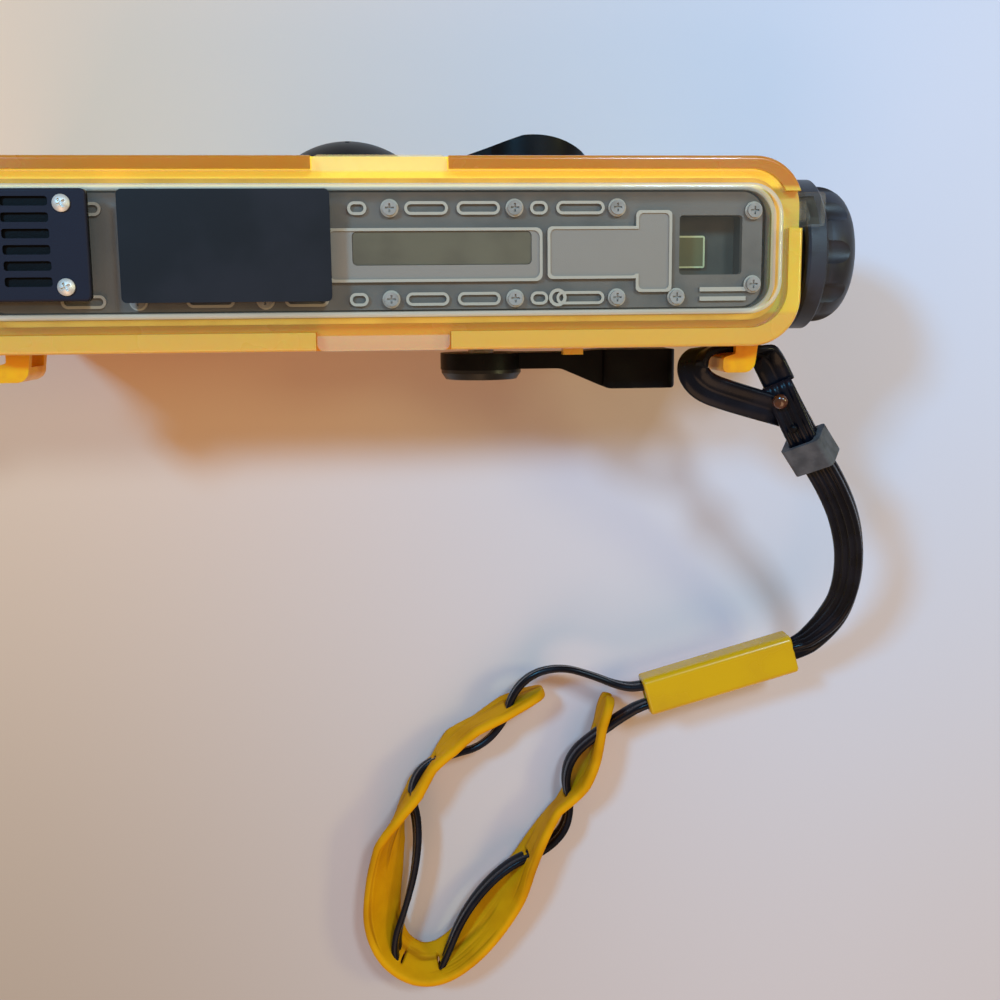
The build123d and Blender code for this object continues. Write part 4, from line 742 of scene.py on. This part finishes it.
    def weave(self, cord_line: list[Vector]) -> bpy.types.Object:
        """Makes the pad as a leaning strip with slots where the strand passes through it.

        Args:
            cord_line: The line of the strand that it is woven on.

        Returns:
            The pad.
        """
        line = self.pad.line()
        rows = len(line)
        cells = 6
        body = bmesh.new()
        bmesh.ops.create_grid(body, x_segments=rows - 1, y_segments=cells, size=1.0)
        uv = body.loops.layers.uv.new("UVMap")
        slots: list[bmesh.types.BMFace] = []
        sides = self.sides(line, cord_line)
        for face in body.faces:
            middle = face.calc_center_median()
            row = (middle.x + 1) / 2 * (rows - 1)
            near = sides[min(int(row), rows - 2)] != sides[min(int(row) + 1, rows - 1)]
            if near and abs(middle.y) < 2.1 / cells:
                slots.append(face)
            for loop in face.loops:
                loop[uv].uv = ((loop.vert.co.x + 1) * 0.1, loop.vert.co.y * 0.0066)
        for vertex in body.verts:
            vertex.co = self.rest(line, vertex.co.x, vertex.co.y)
        bmesh.ops.delete(body, geom=slots, context="FACES")
        pad = finished("wrist_pad_foam", body, self.palette.get("yellow_pad"), "housing")
        wall = pad.modifiers.new("wall", "SOLIDIFY")
        wall.thickness = self.pad_thick * MM
        wall.offset = 0.0
        soft = pad.modifiers.new("soft", "SUBSURF")
        soft.levels = soft.render_levels = 2
        return pad

    def sides(self, line: list[Vector], cord_line: list[Vector]) -> list[bool]:
        """For each point of the pad's line, whether the strand lies outside it.

        Args:
            line: The pad's line.
            cord_line: The strand's line.

        Returns:
            True where the strand is on the outside of the pad.
        """
        found = []
        for index, here in enumerate(line):
            ahead = line[min(index + 1, len(line) - 1)] - line[max(index - 1, 0)]
            outward = Vector((ahead.y, -ahead.x, 0.0))
            nearest = min(cord_line, key=lambda p: (p.xy - here.xy).length)
            found.append((nearest - here).xy.dot(outward.xy) > 0)
        return found

    def rest(self, line: list[Vector], along: float, across: float) -> Vector:
        """Where a point of the flat strip goes once it stands and leans on the floor.

        Args:
            line: The pad's line.
            along: Its place along the strip, from -1 to 1.
            across: Its place across the strip, from -1 to 1.

        Returns:
            The point in metres.
        """
        share = (along + 1) / 2
        index = round(share * (len(line) - 1))
        here = line[index]
        ahead = (line[min(index + 1, len(line) - 1)] - line[max(index - 1, 0)]).normalized()
        outward = Vector((ahead.y, -ahead.x, 0.0))
        lean, inset = math.radians(self.along(self.lean, share)), self.along(self.inset, share)
        end = min(share, 1 - share) * 200 / 5
        half = self.pad_wide / 2 * (math.sqrt(max(0.0, 1 - (1 - min(end, 1.0)) ** 2)) * 0.75 + 0.25)
        rise = Vector((0, 0, 1)) * math.cos(lean) + outward * math.sin(lean)
        bow = outward * (across ** 2 * -1.2 * math.sin(lean) - inset)
        centre_z = self.pad_wide / 2 * math.cos(lean) + self.pad_thick / 2 * math.sin(lean) + 0.5
        point = Vector((here.x, here.y, centre_z * MM)) + (rise * across * half + bow) * MM
        return point

    def along(self, values: tuple[float, ...], share: float) -> float:
        """The value at a share of the pad's length.

        Args:
            values: The values at even steps.
            share: The share, from 0 to 1.

        Returns:
            The value between the two nearest steps.
        """
        place = share * (len(values) - 1)
        low = min(int(place), len(values) - 2)
        return values[low] + (values[low + 1] - values[low]) * (place - low)


@dataclass
class Dressing:
    """Gives every shown CAD node the finish of its record slot, or one of its own."""

    palette: Palette
    own: dict[str, str] = field(default_factory=lambda: {
        "finder_eyepiece": "eyepiece", "hinge_leaf": "leaf_plastic", "door_screws": "dull_steel",
        "strap_pin": "black_plastic"})

    def build(self) -> None:
        """Assigns the materials, node by node."""
        for row in frame["record"]["subparts"]:
            finish = self.own.get(row["node"], row["material_slot"])
            for slot in frame["nodes"][row["node"]].material_slots:
                slot.material = self.palette.get(finish)
            LOG.info("%s dressed as %s", row["node"], finish)


@dataclass
class Lamp:
    """One soft square lamp that looks at the object."""

    name: str
    place: Point
    target: Point
    size: float
    power: float
    colour: Colour = (1.0, 1.0, 1.0)

    def build(self) -> None:
        """Makes the lamp."""
        light = bpy.data.lights.new(self.name, "AREA")
        light.shape = "SQUARE"
        light.size = self.size
        light.energy = self.power
        light.color = self.colour
        lamp = bpy.data.objects.new(self.name, light)
        lamp.location = self.place
        lamp.rotation_euler = (Vector(self.target) - Vector(self.place)).to_track_quat("-Z", "Y").to_euler()
        bpy.context.scene.collection.objects.link(lamp)


@dataclass
class Studio:
    """The camera, the pale floor and the soft light."""

    lens: float = 43.2
    place: Point = (0.0025, -0.0116, 0.3192)
    right: Point = (0.996243, -0.009592, 0.086069)
    up: Point = (0.023172, 0.987135, -0.158203)
    back: Point = (-0.083444, 0.159603, 0.983648)
    floor_half: float = 1.6
    lamps: tuple[Lamp, ...] = (
        Lamp("lamp_key_left", (-0.53, 0.375, 0.85), (0.02, -0.05, 0.02), 0.15, 6.6, (0.16, 0.58, 1.0)),
        Lamp("lamp_key_right", (0.28, 0.40, 0.90), (0.02, -0.05, 0.02), 0.15, 4.2, (0.5, 0.78, 1.0)),
        Lamp("lamp_side", (0.85, 0.10, 0.75), (0.02, -0.07, 0.02), 0.20, 2.0, (1.0, 1.0, 0.5)),
        Lamp("lamp_fill", (-0.25, -1.00, 0.90), (0.02, -0.05, 0.02), 0.9, 5.4, (1.0, 0.60, 0.34)),
    )

    def camera(self) -> None:
        """Makes the camera at the photograph's place and angle."""
        data = bpy.data.cameras.new("camera")
        data.lens = self.lens
        data.sensor_width = 36.0
        data.clip_start = 0.01
        holder = bpy.data.objects.new("camera", data)
        turn = Matrix((self.right, self.up, self.back)).transposed().to_4x4()
        holder.matrix_world = Matrix.Translation(self.place) @ turn
        bpy.context.scene.collection.objects.link(holder)
        bpy.context.scene.camera = holder

    def floor(self) -> None:
        """Makes the plain pale floor, with painted light in its colour: warmer on the left than on the right, and
        darker towards -Y than towards +Y.
        """
        body = bmesh.new()
        bmesh.ops.create_grid(body, x_segments=8, y_segments=8, size=self.floor_half)
        mesh = bpy.data.meshes.new("floor")
        body.to_mesh(mesh)
        body.free()
        graph = Graph("pale_floor")
        place = graph.place()
        # Painted light: the floor's colour carries the lamps' light, warm on the left, cool on the right, darker
        # towards -Y.
        side = graph.steps(graph.axis(place, 0), -0.14, 0.14)
        near = graph.blend(side, paint(186, 161, 139), paint(214, 202, 203))
        far = graph.blend(side, paint(238, 200, 168), paint(214, 216, 234))
        graph.surface(Base_Color=graph.blend(graph.steps(graph.axis(place, 1), -0.24, 0.06), near, far))
        graph.surface(Roughness=0.7)
        mesh.materials.append(graph.material)
        floor = bpy.data.objects.new("floor", mesh)
        bpy.context.scene.collection.objects.link(floor)

    def light(self) -> None:
        """Makes the world's even light and the lamps."""
        world = bpy.data.worlds.new("room")
        world.use_nodes = True
        back = world.node_tree.nodes["Background"]
        back.inputs["Color"].default_value = (1.0, 0.70, 0.48, 1.0)
        back.inputs["Strength"].default_value = 0.34
        bpy.context.scene.world = world
        for lamp in self.lamps:
            lamp.build()
        bpy.context.scene.view_settings.view_transform = "Standard"


def main() -> None:
    """Builds the camera, the strap, the dressing, the floor and the light, in that order."""
    logging.basicConfig(level=logging.INFO, format="%(message)s")
    studio = Studio()
    studio.camera()
    palette = Palette()
    WristStrap(palette).build()
    Dressing(palette).build()
    studio.floor()
    studio.light()


if __name__ == "__main__":
    main()
